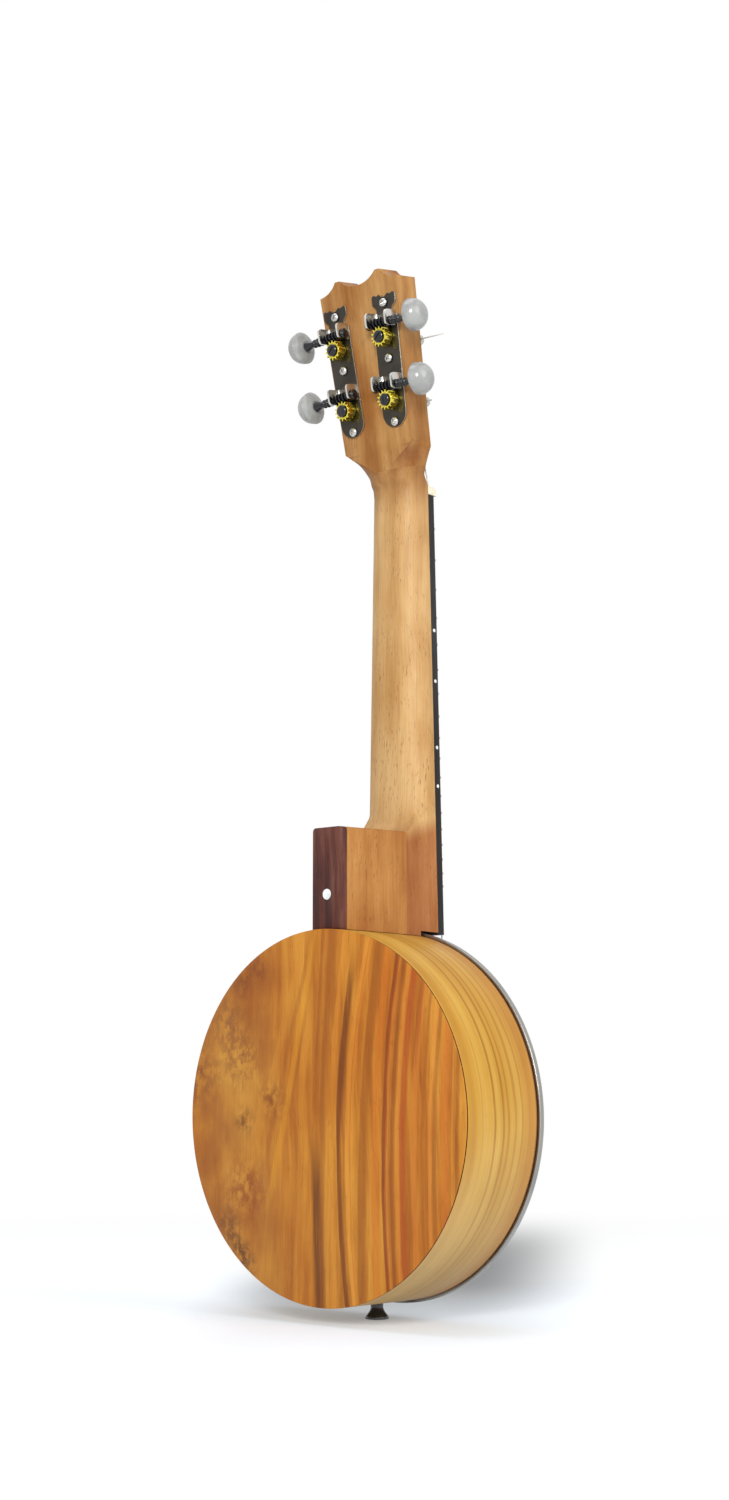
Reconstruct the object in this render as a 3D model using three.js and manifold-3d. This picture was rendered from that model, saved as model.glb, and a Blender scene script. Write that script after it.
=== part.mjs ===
// A soprano banjo ukulele: wooden rim with a back, a drum head drawn down by a screwed hoop, a
// heeled neck on a dowel stick, and four open worm tuners. Millimetres. +Z runs up the neck,
// the drum head looks along -Y, and the treble side is +X. The origin is the centre of the
// back's outer face, and a depth is a distance in front of that face.

import * as THREE from 'three';
import { mergeVertices } from 'three/addons/utils/BufferGeometryUtils.js';
import Module from 'manifold-3d';

const wasm = await Module();
wasm.setup();

// Clearances
const seatGap = 0.3;
const glueLine = 0.1;
const overrun = 2;

// Rim and back
const rimRadius = 97.5;
const rimWall = 13;
const rimDepth = 56.4;
const backThickness = 2.2;
const edgeEase = 0.6;
const spigotWall = 4;
const spigotHeight = 3.6;

// Drum head
const filmThickness = 0.6;
const fleshRingWidth = 2.6;
const fleshRingHeight = 2.2;

// Tension hoop and its screws
const hoopProud = 1.5;
const hoopHeight = 3.7;
const hoopGap = 1.2;
const hoopFlangeThickness = 1.6;
const hoopSkirtThickness = 2;
const hoopEdgeRadius = 0.9;
const headScrewCount = 9;
const headScrewRadius = 1.5;
const headScrewHeadRadius = 3;
const headScrewHeadHeight = 1.8;
const headScrewLength = 15;

// Playing length, nut and fingerboard
const scaleLength = 342;
const bridgeZ = 2.4;
const nutWidth = 35;
const nutThickness = 5;
const nutSlotDepth = 0.7;
const nutCrestShare = 0.4;
const nutFallShare = 0.4;
const nutBackShares = [[0.6, 1], [0.9, 0.7]];
const boardLengthShare = 0.7246;
const boardEndWidth = 46.8;
const boardRise = 6.2;
const boardThickness = 5;
const fretCount = 18;
const fretWidth = 2;
const fretHeight = 1;
const fretInset = 0.4;

// Neck and heel
const neckThickness = 15;
const heelInset = 3.3;
const heelBackWidth = 20.4;
const heelLength = 54.3;
const heelCapThickness = 4;
const heelBlockDepth = 39;
const heelCornerRadius = 2;
const heelFillet = 8;
const heelCarve = 14;
const neckBowPower = 2.3;
const shaftStationShares = [0.4, 0.7, 1];
const hoopNotch = 1.4;
const heelDotRadius = 2.9;
const heelDotThickness = 1.4;
const heelDotRise = 18.5;

// Dowel stick, and the strap button at the tail
const dowelWidth = 18;
const dowelDepth = 20;
const dowelTenon = 17;
const strapButtonInset = 13.1;
const strapStemRadius = 3.5;
const strapFlangeRadius = 6.5;
const strapButtonHeight = 8.4;
const strapScrewRadius = 2;
const strapScrewLength = 32;

// Headstock
const headTilt = 11.1 * Math.PI / 180;
const headBackDepth = 50.2;
const headThickness = 16;
const headJointS = 12.5;
const headRootWidth = 49.6;
const headRootS = 22.5;
const backRootS = 26;
const tongueS = 11;
const tonguePower = 0.8;
const crestDrop = 1.8;
const headTopWidth = 57.6;
const headCornerS = 117;
const hornS = 123.6;
const hornInset = 13.8;
const hornFlat = 3;
const valleyS = 118.2;
const hornPullShare = 0.3;
const hornDipShare = 0.1;
const valleyShare = 0.6;
const shoulderS = 8;
const shoulderPower = 1.2;
const shoulderBowPower = 1.5;

// Tuner plates
const plateTilt = 2.3 * Math.PI / 180;
const plateOffset = 17;
const plateS = 73;
const plateWidth = 16.8;
const plateThickness = 1;
const plateTop = 36;
const plateBottom = 38.4;
const crownFoot = 30.4;
const crownValley = 1.7;
const crownNotch = 0.9;
const crownShares = { outer: 0.85, dip: 0.55, inner: 0.4, valley: 0.12 };
const plateWaistWidth = 11.4;
const plateWaistTop = 28;
const plateScrewTop = 30.8;
const plateScrewLow = 35.3;
const plateScrewRadius = 1.2;
const plateScrewHeadRadius = 2.6;
const plateScrewHeadHeight = 1.4;
const plateScrewLength = 12;
const postSpacing = 35;
const upperPostUp = 11.6;
const lugSpan = 14;
const lugThickness = 1.2;
const lugHeight = 8.9;
const lugWidth = 8.8;
const lugStart = 5.2;

// Worm, gear and post of one tuner
const gearTeeth = 14;
const gearModule = 0.743;
const gearThickness = 5.2;
const toothAddendum = 0.55;
const toothDedendum = 0.8;
const toothShare = 0.4;
const toothTipShare = 0.2;
const wormRadius = 2.45;
const wormHeight = 4.5;
const wormLength = 11.6;
const journalRadius = 1.8;
const runningGap = 0.3;
const wormCapRadius = 2.9;
const wormCapLength = 1.9;
const beadRadius = 2.6;
const beadShares = [[0.02, 1], [0.12, 1], [0.15, 0], [0.24, 0], [0.27, 0.8], [0.37, 0.8], [0.41, 0],
  [0.6, 0], [0.85, 1]];
const collarRadius = 3.3;
const keyButtonReach = 20.6;
const keyButtonRadius = 9.2;
const keyButtonCone = 2.9;
const keyButtonDome = 7.8;
const keyButtonHubRadius = 3.8;
const keyButtonDomePower = 0.8;
const keyButtonRimShare = 0.9;
const keyButtonConeShare = 0.62;
const keySocketDepth = 4;
const postRadius = 3;
const postCollarRadius = 4.4;
const postReach = 12.6;
const postSpigotRadius = 2.2;
const postHoleRadius = 0.9;
const gearScrewRadius = 1;
const gearScrewHeadRadius = 3.4;
const gearScrewHeadHeight = 1.3;
const gearScrewLength = 5;
const bushingWall = 1.1;
const bushingFlangeRadius = 5.4;
const bushingFlangeThickness = 1.4;
const bushingSleeve = 6;

// Strings
const stringRadius = 0.4;
const stringSides = 6;
const nutStringSpan = 25.5;
const bridgeStringSpan = 40.5;
const tailStringSpan = 21;
const stringRise = 1.2;
const action = 2.2;
const windingPitch = 1.3;
const windingTurns = 2;
const windingSteps = 14;
const crossingClimb = 1.6;
const windingStart = 3.6;
const trimmedEnd = 4;
const looseEnd = 17;
const stringKnotRadius = 1.2;

// Bridge and tailpiece
const bridgeWidth = 54;
const bridgeFootThickness = 5.4;
const bridgeTopThickness = 2.2;
const bridgeTopWidth = 46;
const bridgeArchShare = 0.5;
const bridgeFootWidth = 9;
const tailWidth = 29;
const tailMetal = 1.2;
const tailRise = 5.2;
const tailReach = 15;
const tailFoot = 9.5;
const tailHoleInset = 3.2;

// Facet counts
const neckRingSteps = 9;
const carveStations = 7;
const throatStations = 3;
const rootStations = 5;
const bodySegments = 48;
const turnedSegments = 12;
const wormSides = 10;
const wormSteps = 6;

// Places worked out from the sizes above
const nutZ = bridgeZ + scaleLength;
const rimInner = rimRadius - rimWall;
const spigotRadius = rimInner + spigotWall;
const bearingDepth = rimDepth + spigotHeight;
const strapButtonDepth = rimDepth - strapButtonInset;
const hoopRadius = rimRadius + hoopProud;
const hoopBack = rimDepth + hoopGap;
const hoopFront = hoopBack + hoopHeight;
const flangeBack = hoopFront - hoopFlangeThickness;
const skirtInner = hoopRadius - hoopSkirtThickness;
const filmBack = bearingDepth + glueLine;
const filmFront = filmBack + filmThickness;
const ringInner = spigotRadius + seatGap;
const ringOuter = ringInner + fleshRingWidth;
const ringFront = flangeBack - seatGap;
const flangeInner = ringInner + filmThickness + seatGap;
const headScrewCircle = (ringOuter + skirtInner) / 2;
const boardDepth = hoopFront + boardRise;
const boardTop = boardDepth + boardThickness;
const boardLength = scaleLength * boardLengthShare;
const heelTopZ = rimRadius + heelLength;
const heelDotZ = rimRadius + heelDotRise;
const heelCapFront = heelInset + heelCapThickness;
const heelBlockFront = heelCapFront + heelBlockDepth;
const boardEndZ = nutZ - boardLength;
const gearPitchRadius = gearModule * gearTeeth / 2;
const threadPitch = Math.PI * gearModule;
const centreDistance = gearPitchRadius + wormRadius;
const plateFace = seatGap + plateThickness;
const wormH = plateFace + wormHeight;
const stringNutDepth = boardTop + fretHeight + stringRise;
const stringSlope = (boardTop + fretHeight + action + stringRadius - stringNutDepth) / (scaleLength / 2);
const stringBridgeDepth = stringNutDepth + stringSlope * scaleLength;
const tailUnder = hoopFront + seatGap + tailRise;
const tailOver = tailUnder + tailMetal;

// Finishes
const finish = (color, roughness, metalness = 0) =>
  new THREE.MeshStandardMaterial({ color, roughness, metalness });
const paleWood = finish(0xd9a94f, 0.4);
const figuredWood = finish(0xc98a3a, 0.38);
const neckWood = finish(0xcf9d63, 0.5);
const rosewood = finish(0x6b3a2c, 0.45);
const blackWood = finish(0x26211f, 0.5);
const boneWhite = finish(0xe9e0c6, 0.35);
const pearl = finish(0xe6eae6, 0.2);
const drumFilm = finish(0xf0ede4, 0.6);
const chromeMetal = finish(0xbfc2c2, 0.2, 1);
const darkMetal = finish(0x3a3937, 0.35, 1);
const blackMetal = finish(0x1c1b20, 0.3, 1);
const brassMetal = finish(0xcaa438, 0.3, 1);
const nylon = finish(0xe8e8e4, 0.3);

// Welds shared corners, drops collapsed triangles and turns the faces outwards.
function closed(geometry) {
  const bare = geometry.index ? geometry : geometry.clone();
  bare.deleteAttribute('normal');
  bare.deleteAttribute('uv');
  const welded = mergeVertices(bare);
  const place = welded.attributes.position;
  const old = welded.index.array;
  const kept = [];
  for (let i = 0; i < old.length; i += 3) {
    const [a, b, c] = [old[i], old[i + 1], old[i + 2]];
    if (a !== b && b !== c && c !== a) kept.push(a, b, c);
  }
  const [p, q, r] = [new THREE.Vector3(), new THREE.Vector3(), new THREE.Vector3()];
  let volume = 0;
  for (let i = 0; i < kept.length; i += 3) {
    p.fromBufferAttribute(place, kept[i]);
    q.fromBufferAttribute(place, kept[i + 1]);
    r.fromBufferAttribute(place, kept[i + 2]);
    volume += p.dot(q.cross(r));
  }
  if (volume < 0) kept.reverse();
  welded.setIndex(kept);
  return welded;
}

function solid(geometry) {
  const shell = closed(geometry);
  return new wasm.Manifold(new wasm.Mesh({
    numProp: 3,
    vertProperties: new Float32Array(shell.attributes.position.array),
    triVerts: new Uint32Array(shell.index.array),
  }));
}

function surfaceOf(manifold) {
  const mesh = manifold.getMesh();
  const geometry = new THREE.BufferGeometry();
  geometry.setAttribute('position', new THREE.BufferAttribute(mesh.vertProperties, 3));
  geometry.setIndex(new THREE.BufferAttribute(mesh.triVerts, 1));
  return geometry;
}

const cutFrom = (manifold, cutters) => cutters.reduce((rest, cutter) => rest.subtract(cutter), manifold);

// Revolves a profile of [radius, height] pairs about Y, Z or X.
function turned(profile, segments = turnedSegments, axis = 'Y') {
  const geometry = new THREE.LatheGeometry(profile.map(([r, h]) => new THREE.Vector2(r, h)), segments);
  if (axis === 'Z') geometry.rotateX(Math.PI / 2);
  if (axis === 'X') geometry.rotateZ(-Math.PI / 2);
  return closed(geometry);
}

const ringProfile = (profile) => [...profile, profile[0]];

// A plain round bar between two heights on its axis.
const bar = (radius, low, high, axis, segments = turnedSegments) =>
  turned([[0, low], [radius, low], [radius, high], [0, high]], segments, axis);

function block(width, depth, height, x, y, z) {
  return new THREE.BoxGeometry(width, depth, height).translate(x, y, z);
}

// Extrudes an outline drawn in X and Z, from one depth towards the front to another.
function slab(shape, fromDepth, toDepth, curveSegments = 8) {
  const options = { depth: toDepth - fromDepth, bevelEnabled: false, curveSegments };
  return closed(new THREE.ExtrudeGeometry(shape, options).rotateX(Math.PI / 2).translate(0, -fromDepth, 0));
}

// Turns a shape drawn in X and Y, and extruded in Z, so that it is drawn in Y and Z and runs along X.
const ontoRail = new THREE.Matrix4().set(0, 0, 1, 0, 1, 0, 0, 0, 0, 1, 0, 0, 0, 0, 0, 1);

// Extrudes an outline drawn in Y and Z along X, centred on X = 0.
function rail(points, width) {
  const shape = new THREE.Shape(points.map(([y, z]) => new THREE.Vector2(y, z)));
  const geometry = new THREE.ExtrudeGeometry(shape, { depth: width, bevelEnabled: false });
  return closed(geometry.translate(0, 0, -width / 2).applyMatrix4(ontoRail));
}

// Skins rings of equal count into one closed body, with a fan on each end.
function skinned(rings) {
  const sides = rings[0].length;
  const corners = rings.flat();
  const middle = (ring) => ring.reduce((sum, p) => sum.add(p), new THREE.Vector3()).divideScalar(sides);
  const [first, last] = [corners.length, corners.length + 1];
  corners.push(middle(rings[0]), middle(rings[rings.length - 1]));
  const index = [];
  for (let i = 0; i < rings.length - 1; i += 1) {
    for (let j = 0; j < sides; j += 1) {
      const [a, b] = [i * sides + j, i * sides + (j + 1) % sides];
      index.push(a, b, a + sides, b, b + sides, a + sides);
    }
  }
  const top = (rings.length - 1) * sides;
  for (let j = 0; j < sides; j += 1) {
    const next = (j + 1) % sides;
    index.push(first, next, j, last, top + j, top + next);
  }
  const geometry = new THREE.BufferGeometry().setFromPoints(corners);
  geometry.setIndex(index);
  return closed(geometry);
}

// A round tube through a list of points, kept from twisting from one ring to the next.
function tube(points, radii, sides) {
  const rings = [];
  let across = new THREE.Vector3(1, 0, 0);
  points.forEach((point, i) => {
    const before = points[Math.max(i - 1, 0)];
    const after = points[Math.min(i + 1, points.length - 1)];
    const along = after.clone().sub(before).normalize();
    across = across.clone().addScaledVector(along, -across.dot(along)).normalize();
    const other = along.clone().cross(across);
    rings.push(Array.from({ length: sides }, (_, j) => {
      const turn = 2 * Math.PI * j / sides;
      return point.clone().addScaledVector(across, radii[i] * Math.cos(turn))
        .addScaledVector(other, radii[i] * Math.sin(turn));
    }));
  });
  return skinned(rings);
}

const smooth = (low, high, value) => THREE.MathUtils.smoothstep(value, low, high);
const lerp = THREE.MathUtils.lerp;

const instrument = new THREE.Group();

function add(name, geometry, material, parent = instrument) {
  const shape = geometry.isBufferGeometry ? geometry : surfaceOf(geometry);
  const mesh = new THREE.Mesh(shape, material);
  mesh.name = name;
  parent.add(mesh);
  return mesh;
}

// The head screws stand evenly on one circle, with the last at the tail.
const headScrewPlaces = Array.from({ length: headScrewCount }, (_, i) => {
  const turn = (i - (headScrewCount - 1) / 2) * 2 * Math.PI / headScrewCount;
  return { x: -headScrewCircle * Math.sin(turn), z: -headScrewCircle * Math.cos(turn), tail: turn === 0 };
});
const tailLift = tailMetal + seatGap;

function screwHoles(clearance, fromDepth, toDepth) {
  return headScrewPlaces.map(({ x, z }) =>
    solid(bar(headScrewRadius + clearance, -toDepth, -fromDepth, 'Y', 8).translate(x, 0, z)));
}

function dowelBlock(clearance) {
  const bottom = -Math.sqrt(rimInner ** 2 - (dowelWidth / 2) ** 2) + seatGap;
  const top = rimRadius + dowelTenon;
  return block(dowelWidth + 2 * clearance, dowelDepth + 2 * clearance, top - bottom + clearance,
    0, -strapButtonDepth, (top + bottom + clearance) / 2);
}

function makeBody() {
  const rimBack = backThickness + glueLine;
  const rim = solid(turned(ringProfile([
    [rimInner, -rimBack], [rimRadius, -rimBack], [rimRadius, -(rimDepth - edgeEase)],
    [rimRadius - edgeEase, -rimDepth], [spigotRadius, -rimDepth],
    [spigotRadius, -(bearingDepth - edgeEase)], [spigotRadius - edgeEase, -bearingDepth],
    [rimInner, -bearingDepth],
  ]), bodySegments));
  const strapHole = bar(strapScrewRadius + seatGap, -rimRadius - overrun, -rimInner + overrun, 'Z', 8)
    .translate(0, -strapButtonDepth, 0);
  const screwEnd = hoopFront - headScrewLength - seatGap;
  add('rim', cutFrom(rim, [
    solid(dowelBlock(seatGap)), solid(strapHole), ...screwHoles(seatGap, screwEnd, rimDepth + overrun),
  ]), paleWood);

  add('back_plate', turned([
    [0, -backThickness], [rimRadius, -backThickness], [rimRadius, -edgeEase],
    [rimRadius - edgeEase, 0], [0, 0],
  ], bodySegments), figuredWood);

  add('drum_head', turned([
    [0, -filmBack], [ringInner, -filmBack], [ringInner, -(ringFront - fleshRingHeight)],
    [ringOuter, -(ringFront - fleshRingHeight)], [ringOuter, -ringFront],
    [ringInner + filmThickness, -ringFront], [ringInner + filmThickness, -(filmFront - filmThickness / 2)],
    [ringInner, -filmFront], [0, -filmFront],
  ], bodySegments), drumFilm);
}

function makeHoop() {
  const edge = [0, 1, 2].map((step) => {
    const turn = step * Math.PI / 4;
    return [hoopRadius - hoopEdgeRadius * (1 - Math.cos(turn)),
      -(hoopFront - hoopEdgeRadius * (1 - Math.sin(turn)))];
  });
  const hoop = solid(turned(ringProfile([
    [skirtInner, -hoopBack], [hoopRadius, -hoopBack], ...edge,
    [flangeInner, -hoopFront], [flangeInner, -flangeBack], [skirtInner, -flangeBack],
  ]), bodySegments));
  const holes = screwHoles(seatGap, flangeBack - overrun, hoopFront + overrun);
  add('tension_hoop', cutFrom(hoop, holes), chromeMetal);

  headScrewPlaces.forEach(({ x, z, tail }, i) => {
    const seat = hoopFront + glueLine + (tail ? tailLift : 0);
    const crown = seat + headScrewHeadHeight;
    const screw = turned([
      [0, -(hoopFront - headScrewLength)], [headScrewRadius / 2, -(hoopFront - headScrewLength)],
      [headScrewRadius, -(hoopFront - headScrewLength + headScrewRadius)], [headScrewRadius, -seat],
      [headScrewHeadRadius, -seat], [headScrewHeadRadius, -(seat + headScrewHeadHeight / 2)],
      [headScrewHeadRadius / 2, -crown], [0, -crown],
    ], 8);
    add(`head_screw_${i + 1}`, screw.translate(x, 0, z), chromeMetal);
  });
}

function makeTail() {
  add('dowel_stick', cutFrom(solid(dowelBlock(0)), [
    solid(bar(strapScrewRadius + seatGap, -rimRadius, -rimRadius + strapScrewLength + seatGap, 'Z', 8)
      .translate(0, -strapButtonDepth, 0)),
  ]), paleWood);

  const seat = -(rimRadius + seatGap);
  const end = seat - strapButtonHeight;
  const button = turned([
    [0, -rimRadius + strapScrewLength],
    [strapScrewRadius, -rimRadius + strapScrewLength - strapScrewRadius],
    [strapScrewRadius, seat], [strapStemRadius, seat], [strapStemRadius, lerp(seat, end, 0.3)],
    [lerp(strapStemRadius, strapFlangeRadius, 0.25), lerp(seat, end, 0.55)],
    [strapFlangeRadius, lerp(seat, end, 0.82)], [strapFlangeRadius, lerp(seat, end, 0.92)],
    [strapFlangeRadius - edgeEase, end], [0, end],
  ], 20, 'Z');
  add('strap_button', button.translate(0, -strapButtonDepth, 0), darkMetal);

  const footFront = hoopFront + seatGap;
  const low = -(hoopRadius - hoopEdgeRadius);
  const bend = low + tailFoot;
  const high = bend + tailRise + tailReach;
  const strip = solid(rail([
    [-footFront, low], [-footFront, bend], [-tailUnder, bend + tailRise], [-tailUnder, high],
    [-tailOver, high], [-tailOver, bend + tailRise - tailMetal / 2],
    [-(footFront + tailMetal), bend - tailMetal / 2], [-(footFront + tailMetal), low],
  ], tailWidth));
  const holes = stringPlaces.map(({ tailX }) =>
    solid(bar(stringRadius + runningGap, -tailOver - overrun, -tailUnder + overrun, 'Y', 8)
      .translate(tailX, 0, tailHoleZ)));
  const screwHole = bar(headScrewRadius + seatGap, -tailOver, -footFront + overrun, 'Y', 8)
    .translate(0, 0, -headScrewCircle);
  add('tailpiece', cutFrom(strip, [...holes, solid(screwHole)]), chromeMetal);
}

const tailHoleZ = -(hoopRadius - hoopEdgeRadius) + tailFoot + tailRise + tailReach - tailHoleInset;

// Strings in order from the bass side: each names its post and where it crosses nut, bridge and tail.
const stringShares = [-1, -1 / 3, 1 / 3, 1];
const stringPlaces = stringShares.map((share, i) => ({
  side: share < 0 ? -1 : 1,
  upper: i === 1 || i === 2,
  nutX: share * nutStringSpan / 2,
  bridgeX: share * bridgeStringSpan / 2,
  tailX: share * tailStringSpan / 2,
}));

const halfBoard = (z) => lerp(nutWidth, boardEndWidth, (nutZ - z) / boardLength) / 2;

// A cross-section of the neck or the headstock's root. The front is flat. The back is bowed, or flat
// between bowed corners, or square. Of the points counted from the middle of the back, the first one
// marks the edge of the flat.
function neckRing(z, { half, front, thickness, flat = 0, power = neckBowPower, square = 0, lean = 0 }) {
  const bow = (value) => value ** (2 / power);
  return Array.from({ length: 2 * neckRingSteps + 1 }, (_, i) => {
    const step = Math.abs(i - neckRingSteps);
    const turn = Math.PI / 2 * Math.max(0, (step - 1) / (neckRingSteps - 1));
    const [out, back] = [Math.sin(turn), Math.max(0, Math.cos(turn))];
    const edge = Math.max(out, back);
    const reach = lerp(bow(back), back / edge, square) * thickness;
    const side = half - lean * reach;
    const across = lerp(flat + (side - flat) * bow(out), side * out / edge, square);
    return new THREE.Vector3(Math.sign(neckRingSteps - i) * across, -(front - reach), z);
  });
}

const heelLean = (boardEndWidth - heelBackWidth) / 2 / (boardDepth - heelInset);

function shaftRing(z) {
  const heelThickness = boardDepth - heelBlockFront - glueLine;
  const left = THREE.MathUtils.clamp(1 - (z - heelTopZ) / heelFillet, 0, 1);
  const fillet = 1 - Math.sqrt(1 - left ** 2);
  const heel = 1 - smooth(heelTopZ, heelTopZ + heelCarve, z);
  return neckRing(z, {
    half: halfBoard(z), front: boardDepth, thickness: lerp(neckThickness, heelThickness, fillet),
    square: heel, lean: heelLean * heel,
  });
}

// The headstock's half width at a place up from the nut: shoulders first, then straight sides.
function headHalf(s) {
  const shoulder = THREE.MathUtils.clamp((s - shoulderS) / (headRootS - shoulderS), 0, 1);
  const straight = Math.max(0, (s - headRootS) / (headCornerS - headRootS));
  return (lerp(nutWidth, headRootWidth, shoulder ** shoulderPower)
    + (headTopWidth - headRootWidth) * straight) / 2;
}

// A section across the throat in the headstock's frame, where its flat back starts as a tongue.
function throatRing(s) {
  const tongue = THREE.MathUtils.clamp((s - tongueS) / (backRootS - tongueS), 0, 1);
  return neckRing(s, {
    half: headHalf(s), front: headThickness,
    thickness: headThickness - crestDrop * (1 - smooth(0, tongueS, s)),
    flat: headHalf(s) * tongue ** tonguePower,
    power: lerp(neckBowPower, shoulderBowPower, smooth(0, backRootS, s)),
  });
}

// The rim and hoop, grown by their clearances, that the heel and neck are scribed to.
const rimScribe = () => [
  solid(bar(rimRadius + seatGap, -rimDepth - overrun, overrun, 'Y', bodySegments)),
  solid(bar(hoopRadius + hoopNotch, -boardDepth - overrun, -(rimDepth - edgeEase), 'Y', bodySegments)),
];

function makeNeck() {
  const bottom = rimRadius / 2;
  const rings = [shaftRing(bottom), shaftRing(heelTopZ)];
  for (let i = 1; i <= carveStations; i += 1) {
    rings.push(shaftRing(heelTopZ + heelCarve * (i / carveStations) ** 1.5));
  }
  shaftStationShares.forEach((share) => rings.push(shaftRing(lerp(heelTopZ, nutZ, share))));
  rings.push(neckRing(nutZ + nutThickness, {
    half: nutWidth / 2, front: boardDepth, thickness: neckThickness + nutThickness * Math.tan(headTilt),
  }));
  for (let i = 0; i <= throatStations; i += 1) {
    const s = lerp(nutThickness + crestDrop, headJointS, i / throatStations);
    rings.push(throatRing(s).map(({ x, y, z }) => headPoint(x, y, z)));
  }
  add('neck', cutFrom(solid(skinned(rings)), [...rimScribe(), solid(dowelBlock(seatGap))]), neckWood);

  const halfHeel = (depth) => heelBackWidth / 2 + heelLean * (depth - heelInset);
  const heelRing = (depth) => {
    const half = halfHeel(depth);
    const right = [0, 1, 2, 3].map((step) => step * Math.PI / 6)
      .map((turn) => [half - heelCornerRadius * (1 - Math.cos(turn)),
        heelTopZ - heelCornerRadius * (1 - Math.sin(turn))]);
    const left = right.map(([x, z]) => [-x, z]).reverse();
    return [[half, bottom], ...right, ...left, [-half, bottom]]
      .map(([x, z]) => new THREE.Vector3(x, -depth, z));
  };
  const cap = solid(skinned([heelRing(heelInset), heelRing(heelCapFront)]));
  const dotFloor = -(heelInset + heelDotThickness);
  const dotHole = bar(heelDotRadius + glueLine, dotFloor - glueLine, overrun, 'Y', 16)
    .translate(0, 0, heelDotZ);
  add('heel_cap', cutFrom(cap, [...rimScribe(), solid(dotHole)]), rosewood);
  add('heel_dot', bar(heelDotRadius, dotFloor, -heelInset, 'Y', 16)
    .translate(0, 0, heelDotZ), pearl);
  const core = solid(skinned([heelRing(heelCapFront + glueLine), heelRing(heelBlockFront)]));
  add('heel_block', cutFrom(core, [...rimScribe(), solid(dowelBlock(seatGap))]), neckWood);
}

function makeBoard() {
  const outline = new THREE.Shape([
    new THREE.Vector2(-nutWidth / 2, nutZ), new THREE.Vector2(nutWidth / 2, nutZ),
    new THREE.Vector2(boardEndWidth / 2, boardEndZ), new THREE.Vector2(-boardEndWidth / 2, boardEndZ),
  ]);
  let board = solid(slab(outline, boardDepth + glueLine, boardTop));
  for (let fret = 1; fret <= fretCount; fret += 1) {
    const z = nutZ - scaleLength * (1 - 2 ** (-fret / 12));
    const half = halfBoard(z) - fretInset;
    const crown = rail([
      [-boardTop + fretInset, z - fretWidth / 2], [-boardTop, z - fretWidth / 2],
      [-(boardTop + fretHeight * 0.75), z - fretWidth / 4], [-(boardTop + fretHeight), z],
      [-(boardTop + fretHeight * 0.75), z + fretWidth / 4], [-boardTop, z + fretWidth / 2],
      [-boardTop + fretInset, z + fretWidth / 2],
    ], 2 * half);
    board = board.add(solid(crown));
  }
  add('fingerboard', board, blackWood);

  const crest = stringNutDepth + nutSlotDepth - stringRadius;
  const nutBlock = solid(rail([
    [-(boardDepth + glueLine), nutZ + glueLine], [-(boardDepth + glueLine), nutZ + nutThickness],
    ...nutBackShares.map(([rise, along]) =>
      [-lerp(boardDepth, crest, rise), nutZ + nutThickness * along]),
    [-crest, nutZ + nutThickness * nutCrestShare], [-crest, nutZ + glueLine],
  ], nutWidth));
  const floor = stringNutDepth - stringRadius - glueLine;
  const beyond = nutZ + nutThickness + overrun;
  const slot = rail([
    [-floor, nutZ - overrun], [-floor, nutZ + nutThickness * nutCrestShare],
    [-(floor - (beyond - nutZ - nutThickness * nutCrestShare) * nutFallShare), beyond],
    [-(floor + boardThickness), beyond], [-(floor + boardThickness), nutZ - overrun],
  ], 2 * (stringRadius + runningGap));
  const slots = stringPlaces.map(({ nutX }) => solid(slot.clone().translate(nutX, 0, 0)));
  add('nut', cutFrom(nutBlock, slots), boneWhite);
}

const headstock = new THREE.Group();
headstock.position.set(0, -headBackDepth, nutZ);
headstock.rotation.x = -headTilt;
instrument.add(headstock);

// A point given across, out of the headstock's back face, and up the headstock, in the part's frame.
function headPoint(x, h, s) {
  return new THREE.Vector3(x, h, s).applyAxisAngle(new THREE.Vector3(1, 0, 0), -headTilt)
    .add(new THREE.Vector3(0, -headBackDepth, nutZ));
}

// The two plates mirror each other, each leaning outwards with its side of the headstock.
const sides = [{ side: -1, word: 'bass' }, { side: 1, word: 'treble' }];
const posts = sides.flatMap(({ side, word }) => [
  { side, upper: true, label: `${word}_upper`, up: upperPostUp },
  { side, upper: false, label: `${word}_lower`, up: upperPostUp - postSpacing },
]);

// A place on a plate, outwards and up from its middle screw, in the headstock's frame.
function onPlate(side, out, up) {
  return {
    x: side * (plateOffset + out * Math.cos(plateTilt) + up * Math.sin(plateTilt)),
    s: plateS + up * Math.cos(plateTilt) - out * Math.sin(plateTilt),
  };
}

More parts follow.
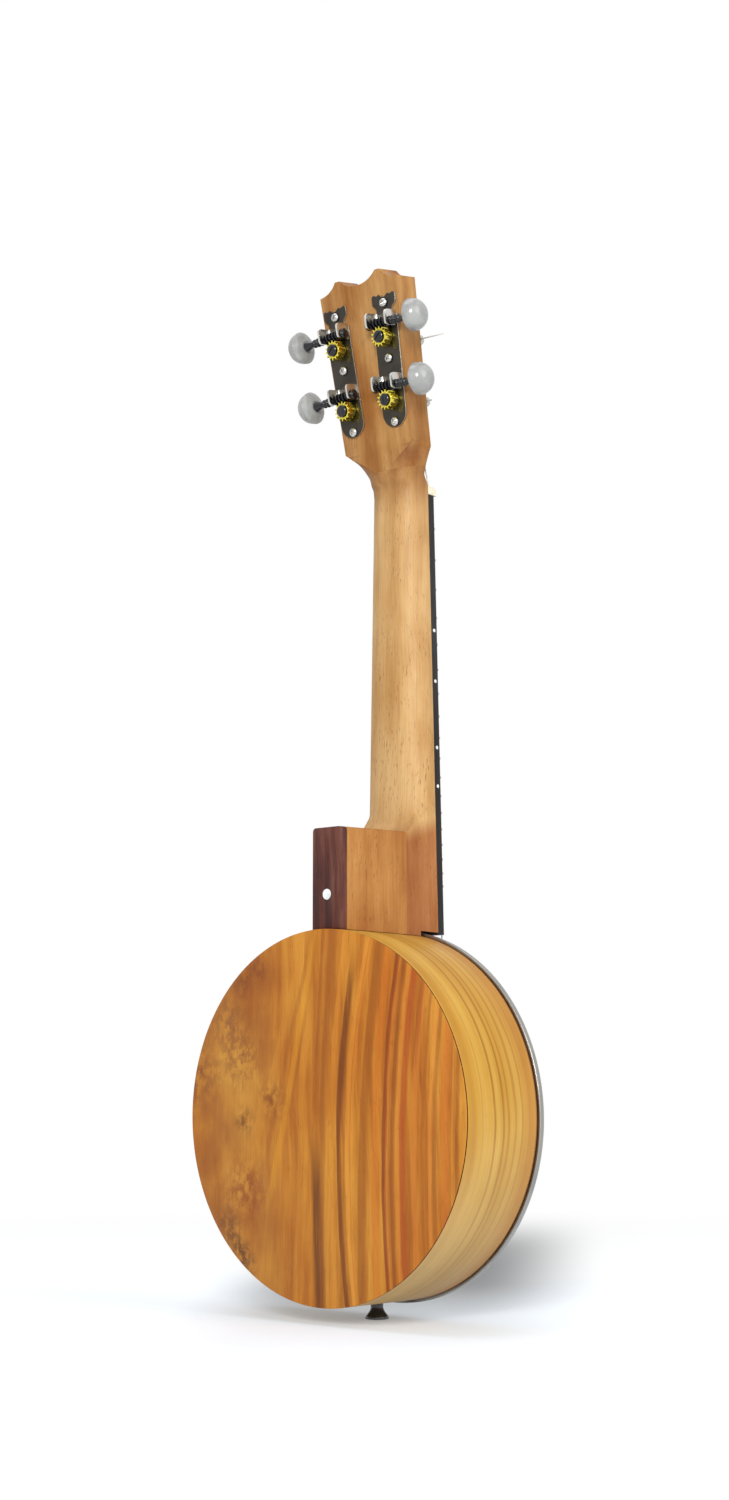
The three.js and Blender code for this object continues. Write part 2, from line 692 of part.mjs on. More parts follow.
function makeHeadstock() {
  const outline = new THREE.Shape();
  outline.moveTo(-headHalf(backRootS), backRootS);
  outline.lineTo(headHalf(backRootS), backRootS);
  outline.lineTo(headTopWidth / 2, headCornerS);
  const hornOuter = headTopWidth / 2 - hornInset + hornFlat / 2;
  const hornInner = hornOuter - hornFlat;
  const pull = lerp(hornOuter, headTopWidth / 2, hornPullShare);
  const pullS = lerp(headCornerS, hornS, hornDipShare);
  outline.quadraticCurveTo(pull, pullS, hornOuter, hornS);
  outline.lineTo(hornInner, hornS);
  outline.quadraticCurveTo(hornInner * valleyShare, valleyS, 0, valleyS);
  outline.quadraticCurveTo(-hornInner * valleyShare, valleyS, -hornInner, hornS);
  outline.lineTo(-hornOuter, hornS);
  outline.quadraticCurveTo(-pull, pullS, -headTopWidth / 2, headCornerS);
  const root = Array.from({ length: rootStations + 1 }, (_, i) =>
    throatRing(lerp(headJointS + seatGap, backRootS, i / rootStations)));
  root.push(throatRing(backRootS + overrun));
  const board = solid(slab(outline, 0, headThickness, 6)).add(solid(skinned(root)));
  const holes = posts.flatMap(({ side, up }) => {
    const { x, s } = onPlate(side, 0, up);
    return [
      solid(bar(postRadius + runningGap + bushingWall + seatGap, -headThickness - overrun,
        -headThickness + bushingSleeve + seatGap, 'Y').translate(x, 0, s)),
      solid(bar(postRadius + runningGap, -headThickness - overrun, overrun, 'Y').translate(x, 0, s)),
    ];
  });
  const screwHole = (side, up) => {
    const { x, s } = onPlate(side, 0, up);
    const low = plateFace - plateScrewLength - seatGap;
    return solid(bar(plateScrewRadius + seatGap, low, overrun, 'Y', 8).translate(x, 0, s));
  };
  const screws = sides.flatMap(({ side }) => plateScrewUps.map((up) => screwHole(side, up)));
  add('headstock', cutFrom(board, [...holes, ...screws]), neckWood, headstock);
}

const plateScrewUps = [plateScrewTop, 0, -plateScrewLow];

// A plate has a notched crown, a waist above the upper lugs and a round foot, and carries two lug pairs.
function plateOutline() {
  const half = plateWidth / 2;
  const waist = plateWaistWidth / 2;
  const right = [
    [half, plateWaistTop - lugWidth / 2], [waist, plateWaistTop - lugWidth / 4], [waist, plateWaistTop],
    [half, crownFoot], [half, plateTop - crownNotch], [half * crownShares.outer, plateTop],
    [half * crownShares.dip, plateTop - crownNotch], [half * crownShares.inner, plateTop],
    [half * crownShares.valley, plateTop - crownValley],
  ];
  const left = right.map(([x, z]) => [-x, z]).reverse();
  const shape = new THREE.Shape();
  shape.moveTo(-half, -plateBottom + half);
  shape.absarc(0, -plateBottom + half, half, Math.PI, 2 * Math.PI, false);
  [...right, ...left].forEach(([x, z]) => shape.lineTo(x, z));
  shape.closePath();
  return shape;
}

function lugBlock(side, up) {
  const shape = new THREE.Shape();
  const start = up + lugStart;
  const round = lugThickness * 1.5;
  const top = plateFace + lugHeight;
  shape.moveTo(plateFace - plateThickness / 2, start);
  shape.lineTo(plateFace - plateThickness / 2, start + lugWidth);
  shape.lineTo(top - round, start + lugWidth);
  shape.quadraticCurveTo(top, start + lugWidth, top, start + lugWidth - round);
  shape.lineTo(top, start + round);
  shape.quadraticCurveTo(top, start, top - round, start);
  shape.closePath();
  const points = shape.getPoints(3).map((p) => [p.x, p.y]);
  return solid(rail(points, lugThickness).translate(side * lugSpan / 2, 0, 0));
}

const toothTip = gearPitchRadius + toothAddendum;
const toothRoot = gearPitchRadius - toothDedendum;
const threadTip = wormRadius + toothAddendum;
const threadRoot = wormRadius - toothDedendum;

// One layer of the gear, turned so that the teeth follow the worm's lead.
function gearRing(height, turn) {
  const tooth = 2 * Math.PI / gearTeeth;
  const corners = [
    [-toothShare / 2 - toothTipShare / 4, toothRoot], [-toothTipShare / 2, toothTip],
    [toothTipShare / 2, toothTip], [toothShare / 2 + toothTipShare / 4, toothRoot],
  ];
  return Array.from({ length: gearTeeth }, (_, i) => corners.map(([share, radius]) => {
    const angle = (i + share) * tooth + turn;
    return new THREE.Vector3(radius * Math.sin(angle), height, radius * Math.cos(angle));
  })).flat();
}

function gearGeometry() {
  const base = plateFace + wormHeight;
  const lead = threadPitch / (2 * Math.PI * wormRadius);
  const layers = [-0.5, 0.5].map((share) => {
    const offset = share * gearThickness;
    return gearRing(base + offset, Math.PI / gearTeeth + lead * offset / gearPitchRadius);
  });
  const hub = bar(postCollarRadius, plateFace + seatGap, base - gearThickness / 2 + seatGap, 'Y');
  const bore = bar(postSpigotRadius + seatGap, -overrun, base + gearThickness, 'Y');
  return solid(skinned(layers)).add(solid(hub)).subtract(solid(bore));
}

// The worm's cross-section has one thread, so its radius depends on the angle less the travel.
function threadRadius(share) {
  const beside = Math.abs(((share % 1) + 1.5) % 1 - 0.5);
  const flat = toothTipShare / 2;
  const foot = toothShare / 2 + toothTipShare / 4;
  return lerp(threadTip, threadRoot, THREE.MathUtils.clamp((beside - flat) / (foot - flat), 0, 1));
}

function wormGeometry(side) {
  const half = wormLength / 2;
  const lug = lugSpan / 2;
  const inner = lug - lugThickness / 2 - runningGap;
  const outer = lug + lugThickness / 2 + runningGap;
  const rings = [];
  const plain = (x, radius) => rings.push(Array.from({ length: wormSides }, (_, j) => {
    const turn = 2 * Math.PI * j / wormSides;
    return new THREE.Vector3(side * x, radius * Math.sin(turn), radius * Math.cos(turn));
  }));
  plain(-outer - wormCapLength, wormCapRadius - edgeEase);
  plain(-outer - wormCapLength + edgeEase, wormCapRadius);
  plain(-outer, wormCapRadius);
  plain(-outer, journalRadius);
  plain(-half, journalRadius);
  const steps = Math.round(wormLength / threadPitch * wormSteps);
  for (let i = 0; i <= steps; i += 1) {
    const x = lerp(-half, half, i / steps);
    rings.push(Array.from({ length: wormSides }, (_, j) => {
      const turn = 2 * Math.PI * j / wormSides;
      const radius = threadRadius(side * x / threadPitch + turn / (2 * Math.PI) + 0.5);
      return new THREE.Vector3(side * x, radius * Math.sin(turn), radius * Math.cos(turn));
    }));
  }
  plain(half, journalRadius);
  plain(outer, journalRadius);
  beadShares.forEach(([along, swell]) =>
    plain(lerp(outer, keyButtonReach - seatGap, along), lerp(journalRadius, beadRadius, swell)));
  plain(keyButtonReach - seatGap, collarRadius);
  plain(keyButtonReach - seatGap, journalRadius);
  plain(keyButtonReach + keySocketDepth - seatGap, journalRadius);
  return skinned(rings);
}

function keyButtonGeometry(side) {
  const start = keyButtonReach;
  const wide = start + keyButtonCone;
  const dome = [0, 1, 2, 3, 4].map((step) => {
    const turn = step * Math.PI / 10;
    return [keyButtonRadius * Math.cos(turn) ** keyButtonDomePower, wide + keyButtonDome * Math.sin(turn)];
  });
  const profile = [
    [0, start + keySocketDepth], [journalRadius + glueLine, start + keySocketDepth],
    [journalRadius + glueLine, start], [keyButtonHubRadius, start],
    [keyButtonRadius * keyButtonRimShare, start + keyButtonCone * keyButtonConeShare],
    ...dome, [0, wide + keyButtonDome],
  ].map(([r, x]) => [r, side * x]);
  return turned(profile, 18, 'X');
}

function postGeometry() {
  const gearTop = plateFace + wormHeight + gearThickness / 2;
  const front = -(headThickness + postReach);
  const hole = -(headThickness + postHoleDown);
  const shoulder = plateFace + seatGap / 2;
  const bore = gearTop - gearScrewLength - seatGap;
  const post = solid(turned([
    [0, front], [postRadius - edgeEase, front], [postRadius, front + edgeEase], [postRadius, shoulder],
    [postSpigotRadius, shoulder], [postSpigotRadius, gearTop - seatGap],
    [gearScrewRadius + glueLine, gearTop - seatGap], [gearScrewRadius + glueLine, bore], [0, bore],
  ]));
  const drill = bar(postHoleRadius, -postRadius * 2, postRadius * 2, 'X', 8);
  return post.subtract(solid(drill.translate(0, hole, 0)));
}

const postHoleDown = bushingFlangeThickness + windingStart
  + (windingTurns - 0.5) * windingPitch + crossingClimb;

function makeTuners() {
  sides.forEach(({ side, word }) => {
    const frame = new THREE.Group();
    frame.position.set(side * plateOffset, 0, plateS);
    frame.rotation.y = side * plateTilt;
    headstock.add(frame);

    const held = posts.filter((post) => post.side === side);
    const lugs = held.flatMap(({ up }) => [lugBlock(-1, up), lugBlock(1, up)]);
    const flat = solid(slab(plateOutline(), -plateFace, -seatGap, 5));
    const plate = lugs.reduce((sum, lug) => sum.add(lug), flat);
    const cutters = held.flatMap(({ up }) => [
      solid(bar(postRadius + runningGap, -overrun, overrun * 2, 'Y').translate(0, 0, up)),
      solid(bar(journalRadius + runningGap, -lugSpan, lugSpan, 'X')
        .translate(0, wormH, up + centreDistance)),
    ]);
    const screwCuts = plateScrewUps.map((up) =>
      solid(bar(plateScrewRadius + seatGap, -overrun, overrun * 2, 'Y', 8).translate(0, 0, up)));
    add(`tuner_plate_${word}`, cutFrom(plate, [...cutters, ...screwCuts]), darkMetal, frame);

    plateScrewUps.forEach((up, i) => {
      const seat = plateFace + seatGap;
      const crown = seat + plateScrewHeadHeight;
      const tip = plateFace - plateScrewLength;
      add(`plate_screw_${word}_${i + 1}`, turned([
        [0, tip], [plateScrewRadius, tip + plateScrewRadius * 2], [plateScrewRadius, seat],
        [plateScrewHeadRadius, seat], [plateScrewHeadRadius * 0.8, lerp(seat, crown, 0.7)], [0, crown],
      ], 10).translate(0, 0, up), chromeMetal, frame);
    });

    held.forEach(({ label, up }) => {
      const wormUp = up + centreDistance;
      add(`tuner_gear_${label}`, gearGeometry().translate([0, 0, up]), brassMetal, frame);
      add(`tuner_post_${label}`, postGeometry().translate([0, 0, up]), chromeMetal, frame);
      add(`worm_shaft_${label}`, wormGeometry(side).translate(0, wormH, wormUp), blackMetal, frame);
      add(`key_button_${label}`, keyButtonGeometry(side).translate(0, wormH, wormUp), pearl, frame);
      const seat = plateFace + wormHeight + gearThickness / 2 + seatGap;
      const crown = seat + gearScrewHeadHeight;
      add(`gear_screw_${label}`, turned([
        [0, seat - gearScrewLength], [gearScrewRadius, seat - gearScrewLength + gearScrewRadius],
        [gearScrewRadius, seat], [gearScrewHeadRadius, seat],
        [gearScrewHeadRadius, lerp(seat, crown, 0.5)], [gearScrewHeadRadius * 0.7, crown], [0, crown],
      ]).translate(0, 0, up), blackMetal, frame);
      const inner = postRadius + runningGap;
      add(`bushing_${label}`, turned(ringProfile([
        [inner, -(headThickness - bushingSleeve)], [inner + bushingWall, -(headThickness - bushingSleeve)],
        [inner + bushingWall, -(headThickness + seatGap)],
        [bushingFlangeRadius, -(headThickness + seatGap)],
        [bushingFlangeRadius - edgeEase, -(headThickness + seatGap + bushingFlangeThickness)],
        [inner, -(headThickness + seatGap + bushingFlangeThickness)],
      ])).translate(0, 0, up), chromeMetal, frame);
    });
  });
}

// A string's route: out of the tailpiece, over bridge and nut, round its post and through the post's hole.
function stringRoute({ side, upper, nutX, bridgeX, tailX }) {
  const post = posts.find((each) => each.side === side && each.upper === upper);
  const centre = onPlate(side, 0, post.up);
  const reach = postRadius + runningGap + stringRadius;
  const over = tailOver + glueLine + stringRadius;
  const route = [
    new THREE.Vector3(tailX, -(tailUnder - stringKnotRadius * 1.6), tailHoleZ),
    new THREE.Vector3(tailX, -(tailUnder - stringKnotRadius), tailHoleZ),
    new THREE.Vector3(tailX, -(tailUnder - stringKnotRadius * 0.3), tailHoleZ),
    new THREE.Vector3(tailX, -tailOver, tailHoleZ),
    new THREE.Vector3(tailX, -over, tailHoleZ + stringRadius),
    new THREE.Vector3(tailX, -(over + stringRadius), tailHoleZ + stringRadius * 4),
    new THREE.Vector3(bridgeX, -stringBridgeDepth, bridgeZ),
    new THREE.Vector3(nutX, -stringNutDepth, nutZ),
    new THREE.Vector3(nutX, -stringNutDepth, nutZ + nutThickness * nutCrestShare),
  ];
  const radii = route.map(() => stringRadius);
  radii[0] = stringKnotRadius * 0.7;
  radii[1] = stringKnotRadius;
  const low = -(headThickness + bushingFlangeThickness + windingStart);
  const climb = (turns) => {
    const plain = Math.min(turns, windingTurns - 0.5);
    const last = Math.max(0, turns - windingTurns + 0.5) * 2;
    return low - plain * windingPitch - last * crossingClimb;
  };
  const steps = Math.ceil(windingTurns * windingSteps);
  for (let i = 0; i <= steps; i += 1) {
    const turns = windingTurns * i / steps;
    const angle = Math.PI * (1 - 2 * turns);
    const out = side * reach * Math.cos(angle);
    route.push(headPoint(centre.x + out, climb(turns), centre.s + reach * Math.sin(angle)));
    radii.push(stringRadius);
  }
  const hole = climb(windingTurns);
  const beyond = side < 0 && upper ? looseEnd : trimmedEnd;
  const last = [
    [-postRadius - stringRadius, stringRadius * 1.5], [-postRadius, stringRadius * 0.2],
    [postRadius + beyond, 0],
  ];
  last.forEach(([out, up]) => {
    route.push(headPoint(centre.x + side * out, hole, centre.s + up));
    radii.push(stringRadius);
  });
  return { route, radii };
}

function makeStrings() {
  stringPlaces.forEach((place, i) => {
    const { route, radii } = stringRoute(place);
    add(`string_${stringPlaces.length - i}`, tube(route, radii, stringSides), nylon);
    const winding = route.slice(9, 10 + Math.ceil(windingTurns * windingSteps));
    let gap = Infinity;
    winding.forEach((a, m) => winding.forEach((b, n) => {
      if (n - m > windingSteps / 2) gap = Math.min(gap, a.distanceTo(b) - 2 * stringRadius);
    }));
    console.log(`string ${stringPlaces.length - i}: least gap between its turns ${gap.toFixed(2)} mm`);
  });
}

function makeBridge() {
  const foot = filmFront + glueLine;
  const crest = stringBridgeDepth - stringRadius - glueLine;
  const arch = lerp(foot, crest, bridgeArchShare);
  const wide = bridgeWidth / 2;
  const narrow = bridgeTopWidth / 2;
  const face = new THREE.Shape();
  face.moveTo(-wide, foot);
  face.lineTo(-wide + bridgeFootWidth, foot);
  face.quadraticCurveTo(-wide + bridgeFootWidth, arch,
    -(wide + bridgeFootWidth / 2) / 2, arch);
  face.quadraticCurveTo(-bridgeFootWidth / 2, arch, -bridgeFootWidth / 2, foot);
  face.lineTo(bridgeFootWidth / 2, foot);
  face.quadraticCurveTo(bridgeFootWidth / 2, arch,
    (wide + bridgeFootWidth / 2) / 2, arch);
  face.quadraticCurveTo(wide - bridgeFootWidth, arch, wide - bridgeFootWidth, foot);
  face.lineTo(wide, foot);
  face.lineTo(narrow, crest);
  face.lineTo(-narrow, crest);
  face.closePath();
  const options = { depth: bridgeFootThickness, bevelEnabled: false, curveSegments: 4 };
  const front = new THREE.ExtrudeGeometry(face, options).scale(1, -1, 1)
    .translate(0, 0, bridgeZ - bridgeFootThickness / 2);
  const wedge = rail([
    [-foot, bridgeZ - bridgeFootThickness / 2], [-crest, bridgeZ - bridgeTopThickness / 2],
    [-crest, bridgeZ + bridgeTopThickness / 2], [-foot, bridgeZ + bridgeFootThickness / 2],
  ], bridgeWidth);
  add('bridge', solid(front).intersect(solid(wedge)), boneWhite);
}

makeBody();
makeHoop();
makeTail();
makeNeck();
makeBoard();
makeHeadstock();
makeTuners();
makeBridge();
makeStrings();

export default instrument;
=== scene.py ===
"""Looks of a soprano banjo ukulele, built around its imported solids. Metres, in the solids' frame."""

import logging
import math
from dataclasses import dataclass
from enum import Enum, IntEnum
from functools import cache
from typing import Callable, ClassVar, Sequence, Union

import bmesh
import bpy
from mathutils import Matrix, Vector


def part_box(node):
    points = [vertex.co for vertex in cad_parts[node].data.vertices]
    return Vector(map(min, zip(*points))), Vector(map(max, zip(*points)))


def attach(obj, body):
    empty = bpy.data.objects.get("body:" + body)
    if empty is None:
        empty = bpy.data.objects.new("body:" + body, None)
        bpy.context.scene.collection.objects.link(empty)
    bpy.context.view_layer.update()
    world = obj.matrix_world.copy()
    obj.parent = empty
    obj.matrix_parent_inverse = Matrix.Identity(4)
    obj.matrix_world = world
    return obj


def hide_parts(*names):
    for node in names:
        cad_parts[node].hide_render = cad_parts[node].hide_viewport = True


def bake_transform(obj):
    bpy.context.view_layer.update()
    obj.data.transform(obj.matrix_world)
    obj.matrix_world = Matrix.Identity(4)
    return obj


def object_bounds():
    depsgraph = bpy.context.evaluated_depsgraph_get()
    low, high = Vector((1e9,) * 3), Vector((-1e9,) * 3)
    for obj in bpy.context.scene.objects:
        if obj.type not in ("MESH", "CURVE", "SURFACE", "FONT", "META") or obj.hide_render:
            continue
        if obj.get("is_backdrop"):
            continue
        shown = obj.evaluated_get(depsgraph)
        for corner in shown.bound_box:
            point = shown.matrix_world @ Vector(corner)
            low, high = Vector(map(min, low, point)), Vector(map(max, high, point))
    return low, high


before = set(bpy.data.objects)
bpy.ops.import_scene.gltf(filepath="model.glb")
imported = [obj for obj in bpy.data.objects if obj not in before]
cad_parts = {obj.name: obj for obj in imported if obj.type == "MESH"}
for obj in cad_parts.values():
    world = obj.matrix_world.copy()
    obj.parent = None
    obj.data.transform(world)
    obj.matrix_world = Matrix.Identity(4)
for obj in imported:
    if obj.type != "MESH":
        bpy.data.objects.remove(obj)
log = logging.getLogger("banjo_ukulele")

Mesh = bmesh.types.BMesh
Item = bpy.types.Object
Socket = bpy.types.NodeSocket
Value = Union[float, int, str, tuple, Socket]
Corner = tuple[float, ...]
Palette = tuple[tuple[float, str], ...]
ColourBand = tuple[float, float, float, str]
Span = tuple[float, float]


class Axis(Enum):
    """The axis that a turned piece is turned about, as the turn that brings Z onto it."""

    X = Matrix.Rotation(math.pi / 2, 4, "Y")
    Y = Matrix.Rotation(-math.pi / 2, 4, "X")
    Z = Matrix.Identity(4)


class Join(Enum):
    """How one solid is worked into another."""

    CUT = "DIFFERENCE"
    ADD = "UNION"


class Grain(Enum):
    """Which way a wood's fibres run."""

    UP = "up the neck"
    HEAD = "up the tilted headstock"
    ROUND = "round the rim"


class Cut:
    """Lengths that are taken off a corner or an edge, in metres."""

    hair: float = 0.0001
    fine: float = 0.0002
    small: float = 0.0003
    light: float = 0.0004
    soft: float = 0.0005
    medium: float = 0.0006
    bead: float = 0.0007
    broad: float = 0.0008
    flare: float = 0.0009
    step: float = 0.0010
    wide: float = 0.0012
    crown: float = 0.0015
    cone: float = 0.0016


class Sides(IntEnum):
    """How many sides a round piece or hole has, by what it is like."""

    rim = 256
    film = 192
    button = 96
    post = 64
    bar = 48
    screw = 40
    pin = 32
    hole = 24
    drill = 20
    bore = 16


def linear(code: str) -> tuple[float, float, float, float]:
    """Turn a written colour into the linear one that shaders take.

    Args:
        code: A colour as six hexadecimal digits.

    Returns:
        Red, green, blue and alpha.
    """
    parts = [int(code[i:i + 2], 16) / 255 for i in (0, 2, 4)]
    red, green, blue = ((p / 12.92) if p < 0.04045 else ((p + 0.055) / 1.055) ** 2.4 for p in parts)
    return (red, green, blue, 1.0)


def lerp(first: float, last: float, share: float) -> float:
    """Return the value a share of the way from first to last."""
    return first + (last - first) * share


def share_of(low: float, high: float, value: float) -> float:
    """Return how far a value has come from low to high, kept from 0 to 1."""
    return min(1.0, max(0.0, (value - low) / (high - low)))


def smooth(low: float, high: float, value: float) -> float:
    """Return 0 below low, 1 above high and an easy curve between them."""
    share = share_of(low, high, value)
    return share * share * (3 - 2 * share)


def arc(steps: int, angle: float = math.pi / 2) -> list[float]:
    """Return the angles of an arc's points, from 0 on."""
    return [angle * i / steps for i in range(steps + 1)]


def mirrored(right: Sequence[tuple[float, float]], shared: bool = False) -> list[tuple[float, float]]:
    """Return half an outline with its mirror image, where its last point may be shared by both."""
    return [*right, *((-x, z) for x, z in reversed(right[:-1] if shared else right))]


def linked(name: str, data: bpy.types.ID) -> Item:
    """Return a new object in the scene."""
    obj = bpy.data.objects.new(name, data)
    bpy.context.scene.collection.objects.link(obj)
    return obj


class Graph:
    """Adds nodes to one shader or geometry tree and wires them together."""

    measures = ("DISTANCE", "DOT_PRODUCT", "LENGTH")

    def __init__(self, tree: bpy.types.NodeTree) -> None:
        """Keep the tree that the nodes go into."""
        self.tree = tree

    def feed(self, socket: Socket, value: Value) -> None:
        """Link a socket to another, or set its value, where a colour may stand as it is written."""
        if isinstance(value, bpy.types.NodeSocket):
            self.tree.links.new(value, socket)
        else:
            socket.default_value = linear(value) if isinstance(value, str) else value

    def add(self, kind: str, sockets: dict | None = None, **settings: object) -> bpy.types.Node:
        """Add one node.

        Args:
            kind: The node's type.
            sockets: What feeds its inputs, by name or by number.
            settings: The node's own settings.

        Returns:
            The new node.
        """
        node = self.tree.nodes.new(kind)
        for key, value in settings.items():
            setattr(node, key, value)
        for key, value in (sockets or {}).items():
            self.feed(node.inputs[key], value)
        return node

    def math(self, operation: str, *values: Value, clamp: bool = False) -> Socket:
        """Add a sum of one to three values.

        Args:
            operation: The Math node's operation.
            values: What it works on.
            clamp: Whether the result is kept from 0 to 1.

        Returns:
            The result.
        """
        sockets = dict(enumerate(values))
        return self.add("ShaderNodeMath", sockets, operation=operation, use_clamp=clamp).outputs[0]

    def product(self, *values: Value) -> Socket:
        """Return the product of several values."""
        total = values[0]
        for value in values[1:]:
            total = self.math("MULTIPLY", total, value)
        return total

    def vector(self, operation: str, *values: Value) -> Socket:
        """Add a sum of vectors.

        Args:
            operation: The Vector Math node's operation.
            values: What it works on.

        Returns:
            The result, which is a number for an operation that measures.
        """
        node = self.add("ShaderNodeVectorMath", dict(enumerate(values)), operation=operation)
        return node.outputs["Value" if operation in self.measures else "Vector"]

    def parts(self, place: Value) -> bpy.types.NodeOutputs:
        """Return a place's coordinates as sockets named X, Y and Z."""
        return self.add("ShaderNodeSeparateXYZ", {0: place}).outputs

    def ease(self, value: Value, low: float, high: float) -> Socket:
        """Return an easy step from 0 at low to 1 at high."""
        node = self.add("ShaderNodeMapRange", {"Value": value, "From Min": low, "From Max": high},
                        interpolation_type="SMOOTHSTEP")
        return node.outputs["Result"]

    def mix(self, share: Value, first: Value, second: Value, mode: str = "MIX") -> Socket:
        """Mix two colours.

        Args:
            share: How much of the second there is.
            first: The colour underneath.
            second: The colour on top.
            mode: How they mix.

        Returns:
            The mixed colour.
        """
        node = self.add("ShaderNodeMix", {0: share, 6: first, 7: second},
                        data_type="RGBA", blend_type=mode)
        return node.outputs[2]

    def ramp(self, share: Value, stops: Sequence[tuple[float, str]]) -> Socket:
        """Turn a share into a colour.

        Args:
            share: Where on the ramp each point is.
            stops: Places on the ramp with their written colours.

        Returns:
            The colour.
        """
        node = self.add("ShaderNodeValToRGB", {0: share})
        band = node.color_ramp.elements
        while len(band) < len(stops):
            band.new(1.0)
        for element, (place, code) in zip(band, stops):
            element.position = place
            element.color = linear(code)
        return node.outputs["Color"]

    def noise(self, place: Value, scale: Value, detail: float = 3.0, rough: float = 0.5) -> Socket:
        """Return a soft noise of a given scale in waves a metre."""
        node = self.add("ShaderNodeTexNoise",
                        {"Vector": place, "Scale": scale, "Detail": detail, "Roughness": rough})
        return node.outputs["Fac"]

    def stretch(self, place: Value, factors: tuple | Socket) -> Socket:
        """Return a place with each of its coordinates multiplied."""
        return self.vector("MULTIPLY", place, factors)


def group_named(name: str, inputs: dict, outputs: dict, build: Callable) -> bpy.types.NodeTree:
    """Return a shader group, built the first time that it is asked for.

    Args:
        name: The group's name.
        inputs: Its input names and kinds of socket.
        outputs: Its output names and kinds of socket.
        build: Fills the group, given its graph, its inputs and its outputs.

    Returns:
        The group's tree.
    """
    known = bpy.data.node_groups.get(name)
    if known:
        return known
    tree = bpy.data.node_groups.new(name, "ShaderNodeTree")
    for way, sockets in (("INPUT", inputs), ("OUTPUT", outputs)):
        for socket, kind in sockets.items():
            tree.interface.new_socket(name=socket, in_out=way, socket_type=f"NodeSocket{kind}")
    graph = Graph(tree)
    build(graph, graph.add("NodeGroupInput").outputs, graph.add("NodeGroupOutput").inputs)
    return tree


def wood_figure() -> bpy.types.NodeTree:
    """Return the group that gives wood its stripes, fibres, pores and clouds. Fibres run along Z."""

    def build(graph: Graph, given: Sequence[Socket], out: Sequence[Socket]) -> None:
        """Fill the group."""
        lazy = graph.add("ShaderNodeTexNoise", {"Vector": given["Place"], "Scale": 9.0, "Detail": 2.0})
        push = graph.vector("SUBTRACT", lazy.outputs["Color"], (0.5, 0.5, 0.5))
        swayed = graph.add("ShaderNodeVectorMath", {0: push, "Scale": given["Sway"]}, operation="SCALE")
        place = graph.vector("ADD", given["Place"], swayed.outputs[0])
        run = graph.add("ShaderNodeCombineXYZ", {"X": 1.0, "Y": 1.0, "Z": given["Flow"]}).outputs[0]
        for name, where, along, scale, detail, rough, edge in (
                ("Stripe", place, run, given["Stripe"], 4.0, 0.62, 0.28),
                ("Fibre", place, (1, 1, 0.025), given["Fibre"], 3.0, 0.65, 0.25),
                ("Clouds", given["Place"], (1, 1, 0.45), given["Cloud"], 3.0, 0.55, 0.3)):
            drift = graph.noise(graph.stretch(where, along), scale, detail, rough)
            graph.feed(out[name], graph.ease(drift, edge, 1.0 - edge))
        fleck = graph.noise(graph.stretch(place, (1, 1, 0.16)), given["Pore"], 1.0, 0.4)
        there = graph.noise(given["Place"], 70.0, 2.0)
        graph.feed(out["Pores"], graph.product(graph.ease(fleck, 0.62, 0.72), graph.ease(there, 0.4, 0.6)))

    inputs = dict.fromkeys(("Sway", "Stripe", "Flow", "Fibre", "Pore", "Cloud"), "Float")
    outputs = dict.fromkeys(("Stripe", "Fibre", "Pores", "Clouds"), "Float")
    return group_named("wood_figure", {"Place": "Vector"} | inputs, outputs, build)


def handling() -> bpy.types.NodeTree:
    """Return the group that gives any surface its faint smears."""

    def build(graph: Graph, given: Sequence[Socket], out: Sequence[Socket]) -> None:
        """Fill the group."""
        smear = graph.noise(given["Place"], given["Scale"], 3.0, 0.6)
        graph.feed(out["Smear"], graph.ease(smear, 0.35, 0.7))

    return group_named("handling", {"Place": "Vector", "Scale": "Float"}, {"Smear": "Float"}, build)


@dataclass(frozen=True)
class Finish:
    """What every finish has: a name, the record's slot, a gloss and how it is made into a material."""

    name: str
    slot: str
    roughness: float = 0.4
    coat: float = 0.0
    metallic: float = 0.0
    specular: float = 0.5
    relief: float = 0.0
    smear_scale: ClassVar[float] = 34.0
    smear_share: ClassVar[float] = 0.08
    gloss_share: ClassVar[float] = 0.12
    bump_strength: ClassVar[float] = 0.6
    coat_roughness: ClassVar[float] = 0.08

    def colour(self, graph: Graph, place: Socket) -> tuple[Value, Value, Value]:
        """Work out the finish at each point.

        Args:
            graph: The material's graph.
            place: Where the point is on the object.

        Returns:
            The colour, the share of roughness that varies, and the height.
        """
        raise NotImplementedError

    def settle(self, shader: bpy.types.Node) -> None:
        """Set what is the same all over the surface on the shader itself."""
        for name, value in {"Metallic": self.metallic, "Coat Weight": self.coat,
                            "Specular IOR Level": self.specular,
                            "Coat Roughness": self.coat_roughness}.items():
            shader.inputs[name].default_value = value

    @cache
    def material(self) -> bpy.types.Material:
        """Return the finish as a material, made the first time that it is asked for."""
        made = bpy.data.materials.new(f"{self.name}_finish")
        made.use_nodes = True
        graph = Graph(made.node_tree)
        shader = made.node_tree.nodes["Principled BSDF"]
        place = graph.add("ShaderNodeTexCoord").outputs["Object"]
        tint, gloss, height = self.colour(graph, place)
        wear = graph.add("ShaderNodeGroup", node_tree=handling())
        graph.feed(wear.inputs["Place"], place)
        graph.feed(wear.inputs["Scale"], self.smear_scale)
        spread = graph.math("MULTIPLY_ADD", wear.outputs["Smear"], self.smear_share,
                            self.roughness - self.smear_share / 2)
        rough = graph.math("MULTIPLY_ADD", gloss, self.gloss_share, spread, clamp=True)
        graph.feed(shader.inputs["Roughness"], rough)
        graph.feed(shader.inputs["Base Color"], tint)
        if self.relief:
            bump = graph.add("ShaderNodeBump", {"Height": height, "Distance": self.relief,
                                                "Strength": self.bump_strength})
            graph.feed(shader.inputs["Normal"], bump.outputs["Normal"])
        self.settle(shader)
        return made


